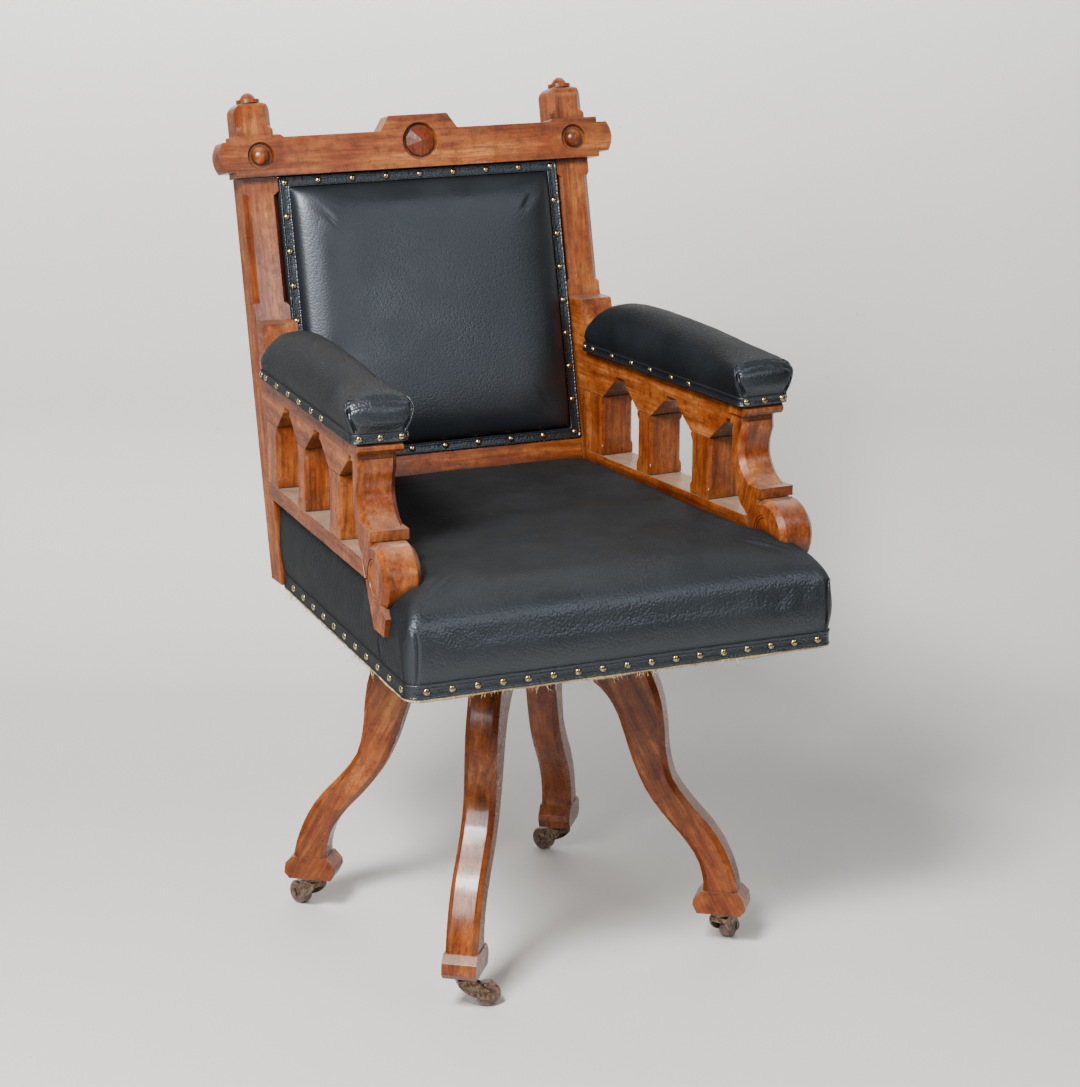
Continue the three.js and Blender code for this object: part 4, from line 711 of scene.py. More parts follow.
def band_profile(width_mm):
    """Half a turn round a flat strip whose two long edges are folded under: the face rises by a bell at
    each edge and a lower one along a stitched line, and the back is flat."""
    across = np.linspace(0, width_mm, 21)
    rise = sum(height * np.exp(-((across - place) / spread) ** 2) for height, place, spread in (
        (BAND_ROLL_MM, 1.3, 1.0), (BAND_ROLL_MM, width_mm - 1.3, 1.0), (0.45, width_mm * 0.72, 0.8),
        (0.3, width_mm * 0.3, 1.0)))
    face = np.stack([across, BAND_THICK_MM - 0.9 + rise], -1)
    face[0, 1] = face[-1, 1] = BAND_THICK_MM - 1.2
    back = np.array([[width_mm, 0.05], [0, 0.05]])
    return np.vstack([face, back]) * MM


def nailed_band(name, path, across, out, profile, nails_at, seed, loop=False):
    """A leather band along a path, in metres: its profile swept along, drawn in round each nail by a
    bell of the distance to it, and its edges a little uneven."""
    gap = np.abs(steps_along(path)[:, None] - np.asarray(nails_at)[None]).min(1)
    pull = 0.55 * MM * np.exp(-(gap / (5 * MM)) ** 2)
    sections = path[:, None] + across[:, None] * profile[None, :, :1] + out[:, None] * profile[None, :, 1:]
    face = (profile[:, 1] > 0.3 * MM)[None, :, None]
    middle = np.exp(-((profile[:, 0] - profile[:, 0].max() / 2) / (4 * MM)) ** 2)[None, :, None]
    sections = sections - out[:, None] * pull[:, None, None] * face * middle
    sections += across[:, None] * (ripple(path, [26] * 5, seed) * 0.35 * MM)[:, None, None]
    if not loop:
        return closed_surface(name, sections)
    index = np.arange(sections.shape[0] * sections.shape[1]).reshape(sections.shape[:2])
    return piece(name, sections, quads_between(index, wrap_rows=True).tolist())


def nail_heads(name, centres, outs, radius, height):
    """Domed nail heads: each is a quarter ellipse from rim to crown, turned about the nail's own axis,
    over a short rim that sinks into the leather."""
    turn = np.linspace(0, 2 * math.pi, 12, endpoint=False)
    rise = np.array([0, 0.32, 0.72, 1.15])
    reach = np.concatenate([[1.0], np.cos(rise)])
    lift = np.concatenate([[-0.35 * MM], height * np.sin(rise)])
    side = unit(np.cross(outs, (0.31, 0.17, 0.93)))
    other = np.cross(outs, side)
    spokes = side[:, None] * np.cos(turn)[:, None] + other[:, None] * np.sin(turn)[:, None]
    rings = (centres[:, None, None] + radius * reach[None, :, None, None] * spokes[:, None]
             + outs[:, None, None] * lift[None, :, None, None])
    count, rows, columns = rings.shape[:3]
    one = np.arange(rows * columns).reshape(rows, columns)
    poles = rows * columns + np.arange(2)
    each = rows * columns + 2
    shift = (np.arange(count) * each)[:, None, None]
    sides = (quads_between(one)[None] + shift).reshape(-1, 4)
    fans = np.concatenate([np.stack([one[row], np.roll(one[row], -1), np.full(columns, pole)], -1)
                           for row, pole in ((0, poles[0]), (-1, poles[1]))])
    caps = (fans[None] + shift).reshape(-1, 3)
    ends = np.stack([centres - outs * 0.35 * MM, centres + outs * height], 1)
    points = np.concatenate([rings.reshape(count, -1, 3), ends], 1)
    return piece(name, points, sides.tolist() + caps.tolist())


def threads(name, roots, tips, radius_mm, seed):
    """Loose threads: each a tapering three-sided strand along a curve from its root to its tip, bent by
    its own random sag."""
    draw = np.random.default_rng(seed)
    t = np.linspace(0, 1, 6)[None, :, None]
    bend = draw.normal(size=(len(roots), 1, 3)) * 0.22 * np.linalg.norm(tips - roots, axis=1)[:, None, None]
    line = roots[:, None] * (1 - t) + tips[:, None] * t + bend * t * (1 - t) * 2
    ways = unit(tips - roots)
    side = unit(np.cross(ways, (0.2, 0.4, 0.9)))
    other = np.cross(ways, side)
    turn = np.arange(3) * 2 * math.pi / 3
    spokes = side[:, None] * np.cos(turn)[:, None] + other[:, None] * np.sin(turn)[:, None]
    thick = radius_mm * MM * (1 - 0.6 * t)
    rings = line[:, :, None] + spokes[:, None] * thick[:, :, None]
    count, rows, columns = rings.shape[:3]
    one = np.arange(rows * columns).reshape(rows, columns)
    shift = (np.arange(count) * rows * columns)[:, None, None]
    sides = (quads_between(one)[None] + shift).reshape(-1, 4)
    ends = np.stack([one[0][::-1], one[-1]])
    caps = (ends[None] + shift).reshape(-1, 3)
    return piece(name, rings, sides.tolist() + caps.tolist(), outward=False)


def laid_on(surface, line, lift_mm=0.0):
    """A line's points moved to the nearest places on a surface, then out along its normal by the lift."""
    tree = BVHTree.FromObject(surface, bpy.context.evaluated_depsgraph_get())
    hits = [tree.find_nearest(Vector(point))[:2] for point in line]
    places = np.array([tuple(place + normal * lift_mm * MM) for place, normal in hits])
    return places, np.array([tuple(normal) for place, normal in hits])


def folded_lip(name, surface, line, radius_mm):
    """The folded edge of a pleat: a flattened round section carried along a line on the leather, thinner
    towards both ends."""
    line, out = laid_on(surface, smooth_line(line, PLEAT_STEPS), 0.35)
    across = unit(np.cross(unit(np.gradient(line, axis=0)), out))
    turn = np.linspace(0, 2 * math.pi, 10, endpoint=False)
    share = np.linspace(0, 1, PLEAT_STEPS)
    thick = radius_mm * MM * np.minimum(1, 4 * np.minimum(share + 0.08, 1.08 - share))[:, None, None]
    rings = (line[:, None] + across[:, None] * np.cos(turn)[:, None] * thick
             + out[:, None] * np.sin(turn)[:, None] * thick * 0.8)
    return closed_surface(name, rings)


def pad_rings():
    """Rings of an arm pad in its arm's frame, front to rear, each a section across the arm.

    A section is a closed curve from the band's top over the crown, given by shares of the half width and
    of the rise, which themselves follow the pad's length. Towards the front it turns from round to a
    squarer one, whose corners flare as a power of the closeness to the front. The front face bulges: its
    rings shrink towards a point and move forward by a quarter ellipse.
    """
    stations = np.array([[0, 0.9, 0.52], [0.006, 0.98, 0.6], [0.02, 1, 0.68], [0.045, 1, 0.745],
                         [0.1, 1, 0.81], [0.22, 1, 0.89], [0.35, 1, 0.95], [0.5, 1, 0.985],
                         [0.64, 1, 0.995], [0.76, 1, 0.975], [0.84, 1, 0.92], [0.9, 1, 0.83],
                         [0.95, 0.99, 0.68], [0.98, 0.96, 0.5],
                         [0.994, 0.88, 0.33], [1, 0.75, 0.2]])
    soft = np.array([[0, 1], [0.3, 0.985], [0.58, 0.92], [0.82, 0.79], [1, 0.6], [1.1, 0.36], [1.08, 0.14],
                     [1, 0]])
    flared = np.array([[0, 1], [0.34, 1.0], [0.7, 0.975], [1.02, 0.93], [1.24, 0.83], [1.29, 0.62],
                       [1.2, 0.3], [1.03, 0]])
    place = np.unique(np.concatenate([stations[:, 0], 0.12 * np.linspace(0, 1, 16) ** 1.3,
                                      np.linspace(0.12, 0.9, 44), 1 - 0.1 * np.linspace(0, 1, 12) ** 1.5]))
    width = np.interp(place, stations[:, 0], stations[:, 1])[:, None]
    rise = np.interp(place, stations[:, 0], stations[:, 2])[:, None]
    closeness = (np.clip(1 - place / 0.2, 0, 1) ** 1.6)[:, None]
    halves = [resampled(smooth_line(section, 60), 21)[0] for section in (soft, flared)]
    across, lift = (halves[0][:, k] + (halves[1] - halves[0])[:, k] * closeness for k in (0, 1))
    tuck = np.ones((len(place), 1))
    across = np.hstack([across, 0.99 * tuck, 0.94 * tuck])
    lift = np.hstack([np.maximum(lift, 0), 0 * tuck, 0 * tuck])
    foot = np.concatenate([np.full(21, PAD_BAND_TOP_MM), [PAD_FOOT_MM + 4, PAD_FOOT_MM]])
    x = width * np.hstack([across, -across[:, :0:-1]]) * PAD_HALF_MM
    z = np.concatenate([foot, foot[:0:-1]]) + rise * np.hstack([lift, lift[:, :0:-1]]) * PAD_RISE_MM
    y = np.broadcast_to((PAD_FRONT_MM + place * (PAD_REAR_MM - PAD_FRONT_MM))[:, None], x.shape)
    rings = np.stack([x, y, z], -1)
    middle = rings[0].mean(0)
    shrink = np.sin(np.linspace(0.12, 1, 11)[:-1] * math.pi / 2)[:, None, None]
    nose = middle + (rings[:1] - middle) * shrink
    above = np.clip((nose[..., 2] - PAD_BAND_TOP_MM) / 12, 0, 1)
    nose[..., 1] -= 6.5 * np.sqrt(1 - shrink[..., 0] ** 2) * above
    return np.concatenate([nose, rings])


def open_path(plan, inset, height, rear_limit):
    """The outline from one stile round the front to the other, with its across and outward vectors."""
    ring = outline(plan, inset)[0]
    behind = ring[:, 1] > rear_limit
    start = np.flatnonzero(behind & ~np.roll(behind, -1))[0] + 1
    line = np.roll(ring, -start, axis=0)[:(~behind).sum()]
    line = np.column_stack([line, np.full(len(line), height)])
    path, steps = resampled(line, int(np.linalg.norm(np.diff(line, axis=0), axis=1).sum() / 2))
    along = unit(np.gradient(path, axis=0))
    across = np.tile([0.0, 0.0, 1.0], (len(path), 1))
    return path, across, unit(np.cross(along, across)), steps


def oak_tones():
    """The four tones of the stained oak, darkest first."""
    colours = bpy.context.scene.armchair_colours
    return colours.oak_dark, colours.oak_ground, colours.oak_warm, colours.oak_light


class ArmchairSizes(bpy.types.PropertyGroup):
    """Sizes of what is made around the frame."""

    nail_radius: FloatProperty(name="Nail radius", description="Radius of a nail's head",
                               default=4.3 * MM, unit="LENGTH")
    nail_height: FloatProperty(name="Nail height", description="How far a nail's head stands up",
                               default=2.5 * MM, unit="LENGTH")
    seat_swell: FloatProperty(name="Seat swell", default=2.0,
                              description="How far the seat's stuffing may push out, in mm")
    back_swell: FloatProperty(name="Back swell", default=1.0,
                              description="How far the back's stuffing may push out, in mm")
    pad_swell: FloatProperty(name="Pad swell", default=2.0,
                             description="How far the pads' stuffing may push out, in mm")
    front_nails: IntProperty(name="Front nails", default=17,
                             description="Nails along the front of the seat")
    side_step: FloatProperty(name="Side step", description="Distance between nails on the seat's sides",
                             default=41 * MM, unit="LENGTH")


class ArmchairColours(bpy.types.PropertyGroup):
    """Colours of the finishes, linear."""

    oak_dark: FloatVectorProperty(name="Oak, dark", description="Dark growth bands", subtype="COLOR",
                                  size=4, default=linear("#2e1608"))
    oak_ground: FloatVectorProperty(name="Oak, ground", description="Ground of the stained oak",
                                    subtype="COLOR", size=4, default=linear("#663313"))
    oak_warm: FloatVectorProperty(name="Oak, warm", description="Warm bands", subtype="COLOR",
                                  size=4, default=linear("#8a4e22"))
    oak_light: FloatVectorProperty(name="Oak, light", description="Light bands where the stain is thin",
                                   subtype="COLOR", size=4, default=linear("#ad7642"))
    leather: FloatVectorProperty(name="Leather", description="Black leathercloth", subtype="COLOR",
                                 size=4, default=linear("#15171a"))


class ARMCHAIR_OT_stage(bpy.types.Operator):
    """Makes the pale studio sweep, the soft lights and the camera at the photograph's place"""

    bl_idname = "armchair.stage"
    bl_label = "Stage, lights and camera"

    def execute(self, context):
        self.sweep()
        self.lights(context)
        self.air(context)
        self.camera(context)
        return {"FINISHED"}

    def sweep(self):
        bend = np.linspace(0, math.pi / 2, 24)
        radius, wall = 0.36, 1.22
        curve = np.stack([wall - radius + radius * np.sin(bend), radius - radius * np.cos(bend)], -1)
        line = np.vstack([[-6.0, 0.0], curve, [wall, 5.0]])
        reach = np.linspace(6, -6, 3)[:, None]
        aside, ahead = (0.9078, -0.4194), (0.4194, 0.9078)
        grid = np.stack([reach * aside[0] + line[:, 0] * ahead[0], reach * aside[1] + line[:, 0] * ahead[1],
                         np.broadcast_to(line[:, 1], (3, len(line)))], -1)
        index = np.arange(3 * len(line)).reshape(3, -1)
        faces = quads_between(index, wrap_columns=False).tolist()
        sweep = piece("studio_sweep", grid, faces, outward=False)
        painted(sweep, studio_paint("matt painted floor and wall", "#bfbdba", "#857f78"))

    def lights(self, context):
        for name, place, aim, size, power, tint in (
                ("key softbox", (-2.8, -2.0, 2.0), (0, 0.1, 0.5), (1.0, 1.0), 72, (1.0, 0.985, 0.96)),
                ("top softbox", (-1.65, -1.5, 2.6), (0, 0, 0.4), (0.75, 0.75), 265, (1.0, 0.99, 0.98)),
                ("front softbox", (1.7, -2.2, 2.6), (0, -0.1, 0.5), (1.2, 1.2), 16, (0.97, 0.99, 1.0)),
                ("window glint", (0.48, -1.77, 1.2), (-0.24, 0.24, 0.7), (0.34, 0.42), 6,
                 (0.97, 0.99, 1.0)),
                ("wall strip", (-0.3, 0.75, 1.7), (-0.04, 1.31, 1.68), (3.2, 0.3), 62, (0.9, 0.95, 1.0))):
            light = bpy.data.lights.new(name, "AREA")
            light.shape, light.energy, light.color = "RECTANGLE", power, tint
            light.size, light.size_y = size
            lamp = bpy.data.objects.new(name, light)
            lamp.location = place
            lamp.rotation_euler = (Vector(aim) - Vector(place)).to_track_quat("-Z", "Y").to_euler()
            context.scene.collection.objects.link(lamp)

    def air(self, context):
        world = bpy.data.worlds.new("studio air")
        world.use_nodes = True
        air = world.node_tree.nodes["Background"]
        air.inputs["Color"].default_value = (0.93, 0.96, 1.0, 1)
        looked_at = add_node(world.node_tree, "LightPath").outputs["Is Camera Ray"]
        strength = add_node(world.node_tree, "MapRange", {0: looked_at, 3: 0.04, 4: 0.55})
        world.node_tree.links.new(strength.outputs[0], air.inputs["Strength"])
        context.scene.world = world

    def camera(self, context):
        camera = bpy.data.cameras.new("photograph view")
        camera.sensor_fit, camera.sensor_width, camera.lens = "HORIZONTAL", 36, 104.98
        camera.clip_end = 60
        seat = bpy.data.objects.new("photograph view", camera)
        right = (0.90830, -0.41829, 0.00480)
        up = (0.10524, 0.23960, 0.96515)
        back = (-0.40486, -0.87614, 0.26165)
        turn = Matrix((right, up, back)).transposed()
        seat.matrix_world = Matrix.Translation(in_row((-1457.6, -3221.3, 1433.7))) @ turn.to_4x4()
        context.scene.collection.objects.link(seat)
        context.scene.camera = seat


class ARMCHAIR_OT_woodwork(bpy.types.Operator):
    """Finishes every wooden part of the frame, the grain along each one's length"""

    bl_idname = "armchair.woodwork"
    bl_label = "Woodwork"

    def execute(self, context):
        tones = oak_tones()
        upright = (0, math.sin(RAKE), math.cos(RAKE))
        ways = {"crest_rail": (1, 0, 0), "lower_back_rail": (1, 0, 0), "hub_block": (1, 0, 0),
                "seat_rear_rail": (1, 0, 0)}
        for side, sign in SIDES.items():
            along = (-sign * math.sin(SPLAY), math.cos(SPLAY), 0)
            ways.update({f"stile_{side}": upright, f"arm_rail_{side}": along,
                         f"arm_sill_rail_{side}": along})
            ways.update({f"arm_post_{place}_{side}": (0, 0, 1) for place in ("rear", "middle", "front")})
            ways.update({f"arm_scroll_{side}": (0, -0.35, 1), f"roundel_outer_{side}": (0, 0.4, 1),
                         f"roundel_inner_{side}": (0, 0.4, 1)})
        ways.update({"crest_button_left": (0, 0, 1), "crest_button_right": (0, 0, 1)})
        for number, (node, way) in enumerate(ways.items()):
            dust = 0.6 if "sill" in node else 0.25
            self.finish(node, polished_oak(f"polished oak, {node}", way, tones, seed=number, dust=dust))
        for number, place in enumerate(PLACES):
            low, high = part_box(f"leg_{place}")
            out = Vector(((low + high) / 2).xy) - Vector(AXIS[:2])
            way = (out.x, out.y, -out.length * 1.9)
            self.finish(f"leg_{place}", polished_oak(f"polished oak, leg_{place}", way, tones,
                                                     seed=40 + number, roughness=(0.24, 0.36)))
        dark = (linear("#34170b"), linear("#5a2b15"), linear("#74391c"), linear("#8d4b26"))
        self.finish("crest_rosette", polished_oak("dark oak, crest_rosette", (0, 0, 1), dark, seed=60), 12)
        deal = bare_wood("rough sawn deal")
        for node in ("seat_front_rail", "seat_side_rail_left", "seat_side_rail_right",
                     "seat_bearer_left", "seat_bearer_right"):
            self.finish(node, deal)
        return {"FINISHED"}

    def finish(self, node, material, smooth_deg=28):
        painted(frame["nodes"][node], material)
        softened(frame["nodes"][node], smooth_deg=smooth_deg)


class ARMCHAIR_OT_ironwork(bpy.types.Operator):
    """Finishes the swivel iron, the castors and their wheels"""

    bl_idname = "armchair.ironwork"
    bl_label = "Swivel iron and castors"

    def execute(self, context):
        iron = old_metal("wrought iron, rusted", "#5a4c42", "#2e211b", 0.75, (0.45, 0.75), 7, 0.3)
        brass = old_metal("cast brass, tarnished", "#84705c", "#3f3029", 0.85, (0.35, 0.6), 4, 0.2)
        ware = glazed_ware("brown vitrified ware")
        finishes = {"swivel_socket": iron, "swivel_spider": iron, "swivel_spindle": iron}
        for place in PLACES:
            finishes.update({f"castor_plate_{place}": brass, f"castor_horn_{place}": brass,
                             f"castor_wheel_{place}": ware})
        for node, material in finishes.items():
            painted(frame["nodes"][node], material)
            softened(frame["nodes"][node], width_mm=0.35)
        return {"FINISHED"}


class ARMCHAIR_OT_seat(bpy.types.Operator):
    """Makes the stuffed seat under its leather, with its corner pleats and side seams"""

    bl_idname = "armchair.seat"
    bl_label = "Stuffed seat"

    def execute(self, context):
        leather = grained_leather("black leathercloth, seat", context.scene.armchair_colours.leather,
                                  grain_mm=3.0, depth=0.4)
        rings = seat_rings()
        cushion = closed_surface("seat_leather", in_row(rings))
        points = (vertices_of(cushion) - AXIS) / MM
        held = ((points[:, 2] < SEAT_BAND_TOP_MM + 1) | (points[:, 1] > HELD_REAR_MM)
                | (np.abs(points[:, 2] - RAIL_TOP_MM) < 0.01))
        for sign in SIDES.values():
            under_arm = across_arm(points, sign) > -ARM_HALF_MM - 3
            held |= under_arm & (points[:, 1] > SILL_FRONT_MM) & (points[:, 2] > HELD_TOP_MM)
        stuffed_out(cushion, held, context.scene.armchair_sizes.seat_swell)
        points = vertices_of(cushion)
        top = np.clip((points[:, 2] / MM - 440) / 30, 0, 1)
        points[:, 2] += ripple(points, [150, 120, 100, 90, 140], 5) * 1.1 * MM * top
        set_vertices(cushion, points)
        for side, sign in SIDES.items():
            pleat = in_row([(sign * 248, -297, 421), (sign * 247.5, -298, 440), (sign * 247, -298, 462),
                            (sign * 248, -294, 476), (sign * 252, -290, 481), (sign * 256, -289, 477)])
            line = laid_on(cushion, smooth_line(pleat, 60))[0]
            pressed(cushion, line, 1.9, 1.7, 1.0, (sign * 3.2, 0, 0))
            dressed(folded_lip(f"seat_pleat_{side}", cushion, line + np.array((sign * 0.0016, 0, 0)), 0.9),
                    "chair_top", leather)
            seam = in_row([(sign * 254, -207, 421), (sign * 255, -206, 434), (sign * 253, -208, 449),
                           (sign * 248, -213, 463)])
            line = laid_on(cushion, smooth_line(seam, 50))[0]
            pressed(cushion, line, 2.4, 1.8, 0.8, (0, 3, 0))
            dressed(folded_lip(f"seat_seam_{side}", cushion, line, 1.15), "chair_top", leather)
        tucked(cushion, [f"arm_sill_rail_{side}" for side in SIDES])
        dressed(cushion, "chair_top", leather, ["seat_cushion"])
        return {"FINISHED"}


class ARMCHAIR_OT_back(bpy.types.Operator):
    """Makes the stuffed panel of the back"""

    bl_idname = "armchair.back"
    bl_label = "Stuffed back"

    def execute(self, context):
        leather = grained_leather("black leathercloth, back", context.scene.armchair_colours.leather, 0.0,
                                  grain_mm=2.4, depth=0.14)
        plan = rounded_rectangle(PANEL_HALF_MM, PANEL_LOW_MM, PANEL_HIGH_MM, 5)
        edge = [(6, BACK_DEPTH_MM), (0.3, BACK_DEPTH_MM), (0.1, 12), (0.1, 1.0), (0.4, 0.1), (6, 0.0),
                (BACK_BORDER_MM - 1, 0.0)]
        insets, depths = np.array(edge).T
        rim = outline(plan, insets, 5, (56, 54, 56, 54))
        rim = np.concatenate([rim, np.broadcast_to(depths[:, None, None], rim.shape[:2] + (1,))], -1)
        swell = outline(plan, BACK_BORDER_MM + 140 * np.linspace(0.0, 1, 30) ** 1.7, 5, (56, 54, 56, 54))
        middle = swell[-1].mean(0)
        shrink = np.linspace(1, 0, 6)[1:-1, None, None]
        swell = np.concatenate([swell, middle + (swell[-1:] - middle) * shrink])
        centre = (PANEL_LOW_MM + PANEL_HIGH_MM) / 2
        sides = risen(PANEL_HALF_MM - BACK_BORDER_MM - np.abs(swell[..., 0]), BACK_REACH_MM)
        ends = risen(PANEL_HIGH_MM - centre - BACK_BORDER_MM - np.abs(swell[..., 1] - centre),
                     BACK_REACH_MM)
        crown = -BACK_CROWN_MM * blended(sides, ends)
        swell = np.concatenate([swell, crown[..., None]], -1)
        flat = np.concatenate([rim, swell])
        rings = np.stack([flat[..., 0], flat[..., 2], flat[..., 1]], -1)
        cushion = closed_surface("back_leather", in_row(raked(rings)))
        upright = raked([(0, 0, 0), (0, 1, 0)])
        inward = upright[1] - upright[0]
        points = (vertices_of(cushion) - AXIS) / MM
        held = (points - upright[0]) @ inward > -1.0
        stuffed_out(cushion, held, context.scene.armchair_sizes.back_swell)
        points = vertices_of(cushion)
        shift = ripple(points, [130, 90, 110, 80, 150], 9) * 0.7 * MM
        full = np.clip(-(((points - AXIS) / MM - upright[0]) @ inward) / 12, 0, 1)
        set_vertices(cushion, points - (shift * full)[:, None] * inward)
        dressed(cushion, "chair_top", leather, ["back_pad"])
        painted(frame["nodes"]["outside_back"], grained_leather(
            "black leathercloth, outside back", context.scene.armchair_colours.leather, 0.0))
        return {"FINISHED"}


class ARMCHAIR_OT_arm_pads(bpy.types.Operator):
    """Makes the two stuffed arm pads with the pleats at their front corners"""

    bl_idname = "armchair.arm_pads"
    bl_label = "Stuffed arm pads"

    def execute(self, context):
        for side, sign in SIDES.items():
            leather = grained_leather(f"black leathercloth, {side} arm",
                                      context.scene.armchair_colours.leather, 0.04, grain_mm=2.8,
                                      depth=0.35, roughness=(0.3, 0.42))
            cushion = closed_surface(f"arm_leather_{side}", in_row(splayed(pad_rings(), sign)))
            held = (vertices_of(cushion)[:, 2] < (PAD_BAND_TOP_MM + 0.5) * MM)
            stuffed_out(cushion, held, context.scene.armchair_sizes.pad_swell)
            for name, hand in (("outer", sign), ("inner", -sign)):
                line = in_row(splayed([(hand * 30.5, -165, 664.5), (hand * 34, -166, 672),
                                       (hand * 37.5, -165, 681), (hand * 39.5, -163, 690),
                                       (hand * 39, -159, 698), (hand * 36, -155, 703.5),
                                       (hand * 32, -155, 704), (hand * 29, -158, 701)], sign))
                line = laid_on(cushion, smooth_line(line, 60))[0]
                aside = splayed([(0, 0, 0), (-hand * 2.8, -1.2, -0.8)], sign)
                pressed(cushion, line + (aside[1] - aside[0]) * MM, 4.2, 1.6)
                dressed(folded_lip(f"arm_pleat_{name}_{side}", cushion, line, 1.1), "chair_top",
                        leather)
            dressed(cushion, "chair_top", leather, [f"arm_pad_{side}"])
        return {"FINISHED"}


class ARMCHAIR_OT_bands(bpy.types.Operator):
    """Makes the folded leather bands that cover the edges of the stuffing, and their brass nails"""

    bl_idname = "armchair.bands"
    bl_label = "Nailed bands"

    def execute(self, context):
        leather = grained_leather("black leathercloth, bands", context.scene.armchair_colours.leather, 0.02,
                                  depth=0.4, roughness=(0.26, 0.38))
        brass = old_metal("antique brass, domed nails", "#b5a888", "#6e5a34", 1.0, (0.16, 0.36), 2.5, 0.05)
        sizes = context.scene.armchair_sizes
        self.seat(leather, brass, sizes)
        self.back(leather, brass, sizes)
        for side, sign in SIDES.items():
            self.arm(side, sign, leather, brass, sizes)
        return {"FINISHED"}

    def nailed(self, name, path, across, out, width_mm, nails_at, node, leather, brass, sizes, loop, seed):
        profile = band_profile(width_mm)
        band = nailed_band(name, path, across, out, profile, nails_at, seed, loop)
        dressed(band, "chair_top", leather, [node])
        place, over, outs = (read_at(nails_at, steps_along(path), values) for values in (path, across, out))
        centres = place + over * width_mm * MM * 0.5 + unit(outs) * 0.9 * MM
        heads = nail_heads(f"{name}_nails", centres, unit(outs), sizes.nail_radius, sizes.nail_height)
        dressed(heads, "chair_top", brass)

    def seat(self, leather, brass, sizes):
        path, across, out, steps = open_path(SEAT_PLAN_MM, SKIN_INSET_MM, SEAT_FOOT_MM,
                                              SEAT_BAND_REAR_MM)
        front = [steps[np.argmin(np.linalg.norm(path[:, :2] - (sign * 259, -297), axis=1))]
                 for sign in SIDES.values()]
        on_front = np.linspace(front[0] + 16, front[1] - 16, sizes.front_nails)
        sides = np.arange(17, 460, sizes.side_step / MM)
        nails_at = np.sort(np.concatenate([front[0] - sides, on_front, front[1] + sides]))
        nails_at = nails_at[(nails_at > 8) & (nails_at < steps[-1] - 8)] * MM
        self.nailed("seat_edge_band", in_row(path), across, out, SEAT_BAND_WIDTH_MM, nails_at, "seat_band",
                    leather, brass, sizes, False, 3)

    def back(self, leather, brass, sizes):
        plan = rounded_rectangle(PANEL_HALF_MM, PANEL_LOW_MM, PANEL_HIGH_MM, 4)
        corner_steps, side_steps = 5, 100
        rings = outline(plan, [BACK_BAND_INSET_MM, BACK_BORDER_MM], corner_steps, (side_steps,) * 4)
        stood = [np.stack([ring[:, 0], np.full(len(ring), -0.35), ring[:, 1]], -1) for ring in rings]
        outer, inner = (in_row(raked(ring)) for ring in stood)
        width = BACK_BORDER_MM - BACK_BAND_INSET_MM
        across = (inner - outer) / (width * MM)
        facing = raked([(0, 0, 0), (0, -1, 0)])
        out = np.tile(facing[1] - facing[0], (len(outer), 1))
        lengths = steps_along(outer)
        corner = corner_steps // 2
        marks = [lengths[corner + k * (corner_steps + side_steps - 1)] for k in range(4)]
        marks.append(lengths[-1] + lengths[corner])
        nails_at = np.concatenate([np.linspace(marks[k], marks[k + 1], 9)[:-1] for k in range(4)])
        self.nailed("back_edge_band", outer, across, out, width, nails_at, "back_pad_band",
                    leather, brass, sizes, True, 4)

    def arm(self, side, sign, leather, brass, sizes):
        plan = rounded_rectangle(PAD_HALF_MM, PAD_FRONT_MM, PAD_REAR_MM, 7)
        corner_steps, end_steps, side_steps = 7, 20, 120
        ring = outline(plan, 0.0, corner_steps, (end_steps, side_steps, end_steps, side_steps))[0]
        start = 2 * corner_steps + end_steps - 2
        ring = np.roll(ring, -start, axis=0)
        flat = np.column_stack([ring, np.full(len(ring), PAD_FOOT_MM)])
        path = in_row(splayed(flat, sign))
        across = np.tile([0.0, 0.0, 1.0], (len(path), 1))
        along = unit(np.roll(path, -1, axis=0) - np.roll(path, 1, axis=0))
        out = unit(np.cross(along, across))
        lengths = steps_along(path)
        at = [lengths[np.argmin(np.linalg.norm(flat[:, :2] - place, axis=1))] for place in
              [(x, y) for x, ys in ((-1, np.linspace(172, -150, 8)), (1, np.linspace(-150, 172, 8)))
               for y in ys for x in (x * PAD_HALF_MM,)]]
        front = [lengths[np.argmin(np.linalg.norm(flat[:, :2] - (x, PAD_FRONT_MM), axis=1))]
                 for x in (-23.5, 1.0, 23.5)]
        self.nailed(f"arm_edge_band_{side}", path, across, out, ARM_BAND_WIDTH_MM, np.sort(at + front),
                    f"arm_pad_band_{side}", leather, brass, sizes, True, 6 + sign)


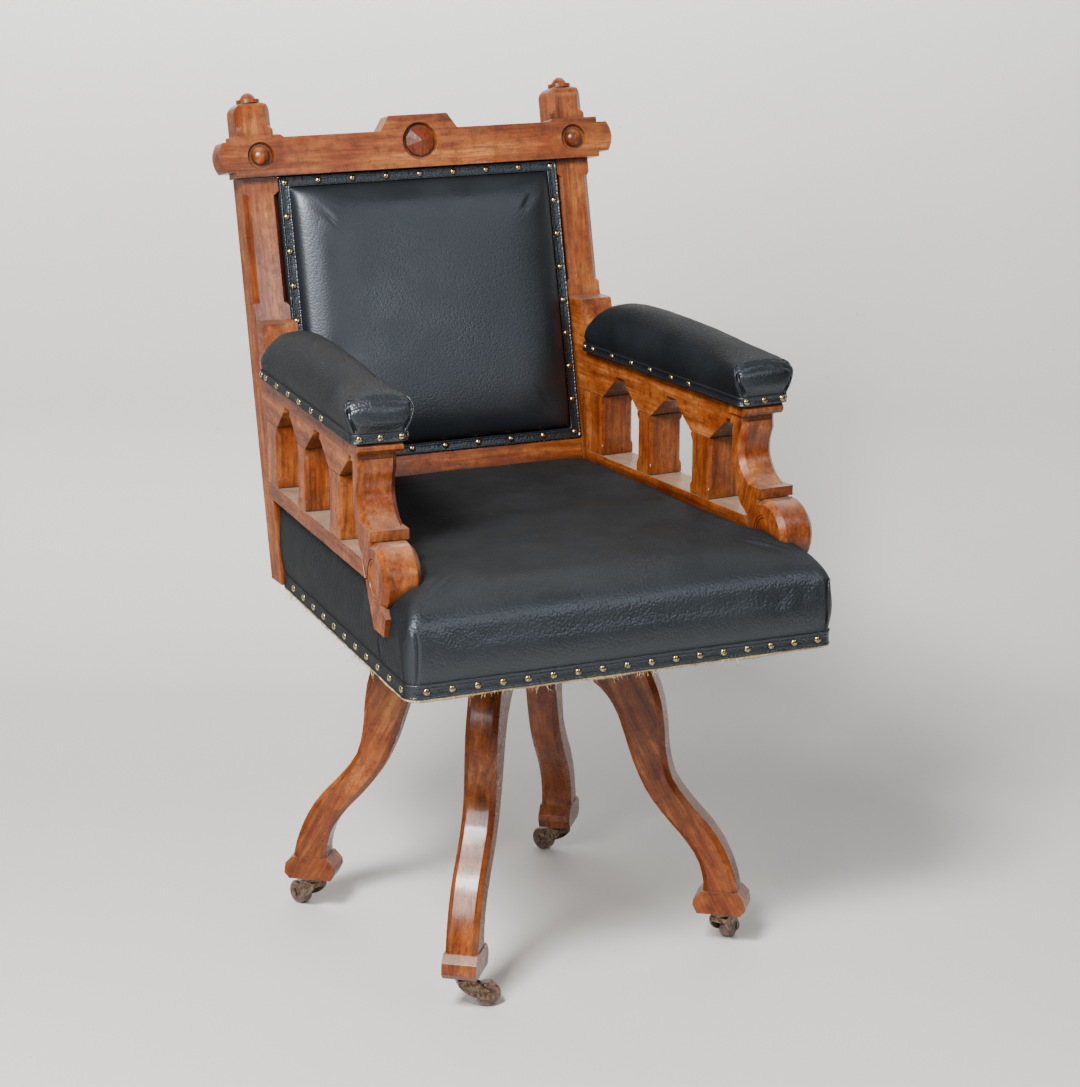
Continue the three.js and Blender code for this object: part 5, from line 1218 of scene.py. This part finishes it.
class ARMCHAIR_OT_underside(bpy.types.Operator):
    """Makes the woven cloth that closes the seat underneath, and the threads that fray below its band"""

    bl_idname = "armchair.underside"
    bl_label = "Woven bottom"

    def execute(self, context):
        hessian = woven_hessian("plain woven jute")
        self.bottom(hessian)
        path, across, out, steps = open_path(SEAT_PLAN_MM, SKIN_INSET_MM - 0.7, SEAT_FOOT_MM,
                                              HEM_REAR_MM)
        self.hem(in_row(path), across, out)
        self.fringe(path, out, steps, hessian)
        return {"FINISHED"}

    def bottom(self, hessian):
        plan = dict(SEAT_PLAN_MM, far=CLOTH_REAR_MM)
        inset = RAIL_INSET_MM + 0.5
        edge = outline(plan, inset)[0]
        angle = np.arctan2(edge[:, 1], edge[:, 0])
        hole = SPINDLE_HOLE_MM * np.stack([np.cos(angle), np.sin(angle)], -1)
        share = np.linspace(0, 1, 26)[:, None, None]
        flat = edge * (1 - share) + hole * share
        height = SEAT_FOOT_MM + 0.9 + 0.25 * ripple(np.dstack([flat, np.zeros(flat.shape[:2])]) * MM,
                                                     [60, 50, 80, 40, 70], 12)
        grid = in_row(np.dstack([flat, height]))
        index = np.arange(grid.shape[0] * grid.shape[1]).reshape(grid.shape[:2])
        cloth = piece("bottom_cloth", grid, quads_between(index).tolist(), outward=False)
        dressed(cloth, "chair_top", hessian, ["seat_bottom_cloth"])

    def hem(self, place, across, out):
        drop = (1.3 + 1.9 * np.clip(ripple(place, [120, 75, 60, 95, 40], 31) + 0.35, 0, 1))[:, None, None]
        corners = np.array([(0.8, 0.0), (0.0, 0.0), (-0.5, 0.1), (-1.0, 0.25), (-1.0, 0.9), (0.8, 0.6)])
        sway = (0.5 * ripple(place, [45, 30, 22, 60, 35], 32))[:, None, None]
        low = corners[None, :, :1] * np.where(corners[None, :, :1] < 0, drop, 1.0)
        hem = (place[:, None] + across[:, None] * low * MM
               + out[:, None] * (corners[None, :, 1:] + sway * (corners[None, :, :1] < 0)) * MM)
        dressed(closed_surface("hessian_hem", hem), "chair_top",
                woven_hessian("frayed jute hem", 1.35))

    def fringe(self, path, out, steps, hessian):
        draw = np.random.default_rng(21)
        at = draw.uniform(10, steps[-1] - 10, FRINGE_THREADS)
        at = at[ripple(np.outer(at, (MM, 0, 0)), [90, 60, 130, 45, 75], 4) > -0.05]
        roots = read_at(at, steps, path) + (0, 0, 0.8)
        length = draw.gamma(2.2, 2.0, len(at))[:, None]
        outwards = read_at(at, steps, out) * draw.uniform(0.0, 1.1, (len(at), 1))
        ways = unit(outwards + draw.normal(size=(len(at), 3)) * 0.45 + (0, 0, -0.9))
        fringe = threads("hessian_fringe", in_row(roots), in_row(roots + ways * (2.0 + length)), 0.34, 22)
        dressed(fringe, "chair_top", hessian)


class ARMCHAIR_PT_panel(bpy.types.Panel):
    """Lists the armchair's steps in the sidebar"""

    bl_label = "Oak Swivel Armchair"
    bl_idname = "ARMCHAIR_PT_panel"
    bl_space_type = "VIEW_3D"
    bl_region_type = "UI"
    bl_category = "Armchair"

    def draw(self, context):
        for group in (context.scene.armchair_sizes, context.scene.armchair_colours):
            for name in group.__annotations__:
                self.layout.prop(group, name)
        for step in STEPS:
            self.layout.operator(step.bl_idname)


STEPS = (ARMCHAIR_OT_stage, ARMCHAIR_OT_woodwork, ARMCHAIR_OT_ironwork, ARMCHAIR_OT_seat, ARMCHAIR_OT_back,
         ARMCHAIR_OT_arm_pads, ARMCHAIR_OT_bands, ARMCHAIR_OT_underside)
CLASSES = (ArmchairSizes, ArmchairColours, *STEPS, ARMCHAIR_PT_panel)


def register():
    """Registers the classes and hangs the two groups of properties on the scene."""
    for item in CLASSES:
        bpy.utils.register_class(item)
    bpy.types.Scene.armchair_sizes = bpy.props.PointerProperty(type=ArmchairSizes)
    bpy.types.Scene.armchair_colours = bpy.props.PointerProperty(type=ArmchairColours)


def unregister():
    """Takes the groups and the classes away again."""
    del bpy.types.Scene.armchair_colours
    del bpy.types.Scene.armchair_sizes
    for item in reversed(CLASSES):
        bpy.utils.unregister_class(item)


def main():
    """Runs every step in order."""
    register()
    for step in STEPS:
        group, name = step.bl_idname.split(".")
        getattr(getattr(bpy.ops, group), name)()


if __name__ == "__main__":
    main()
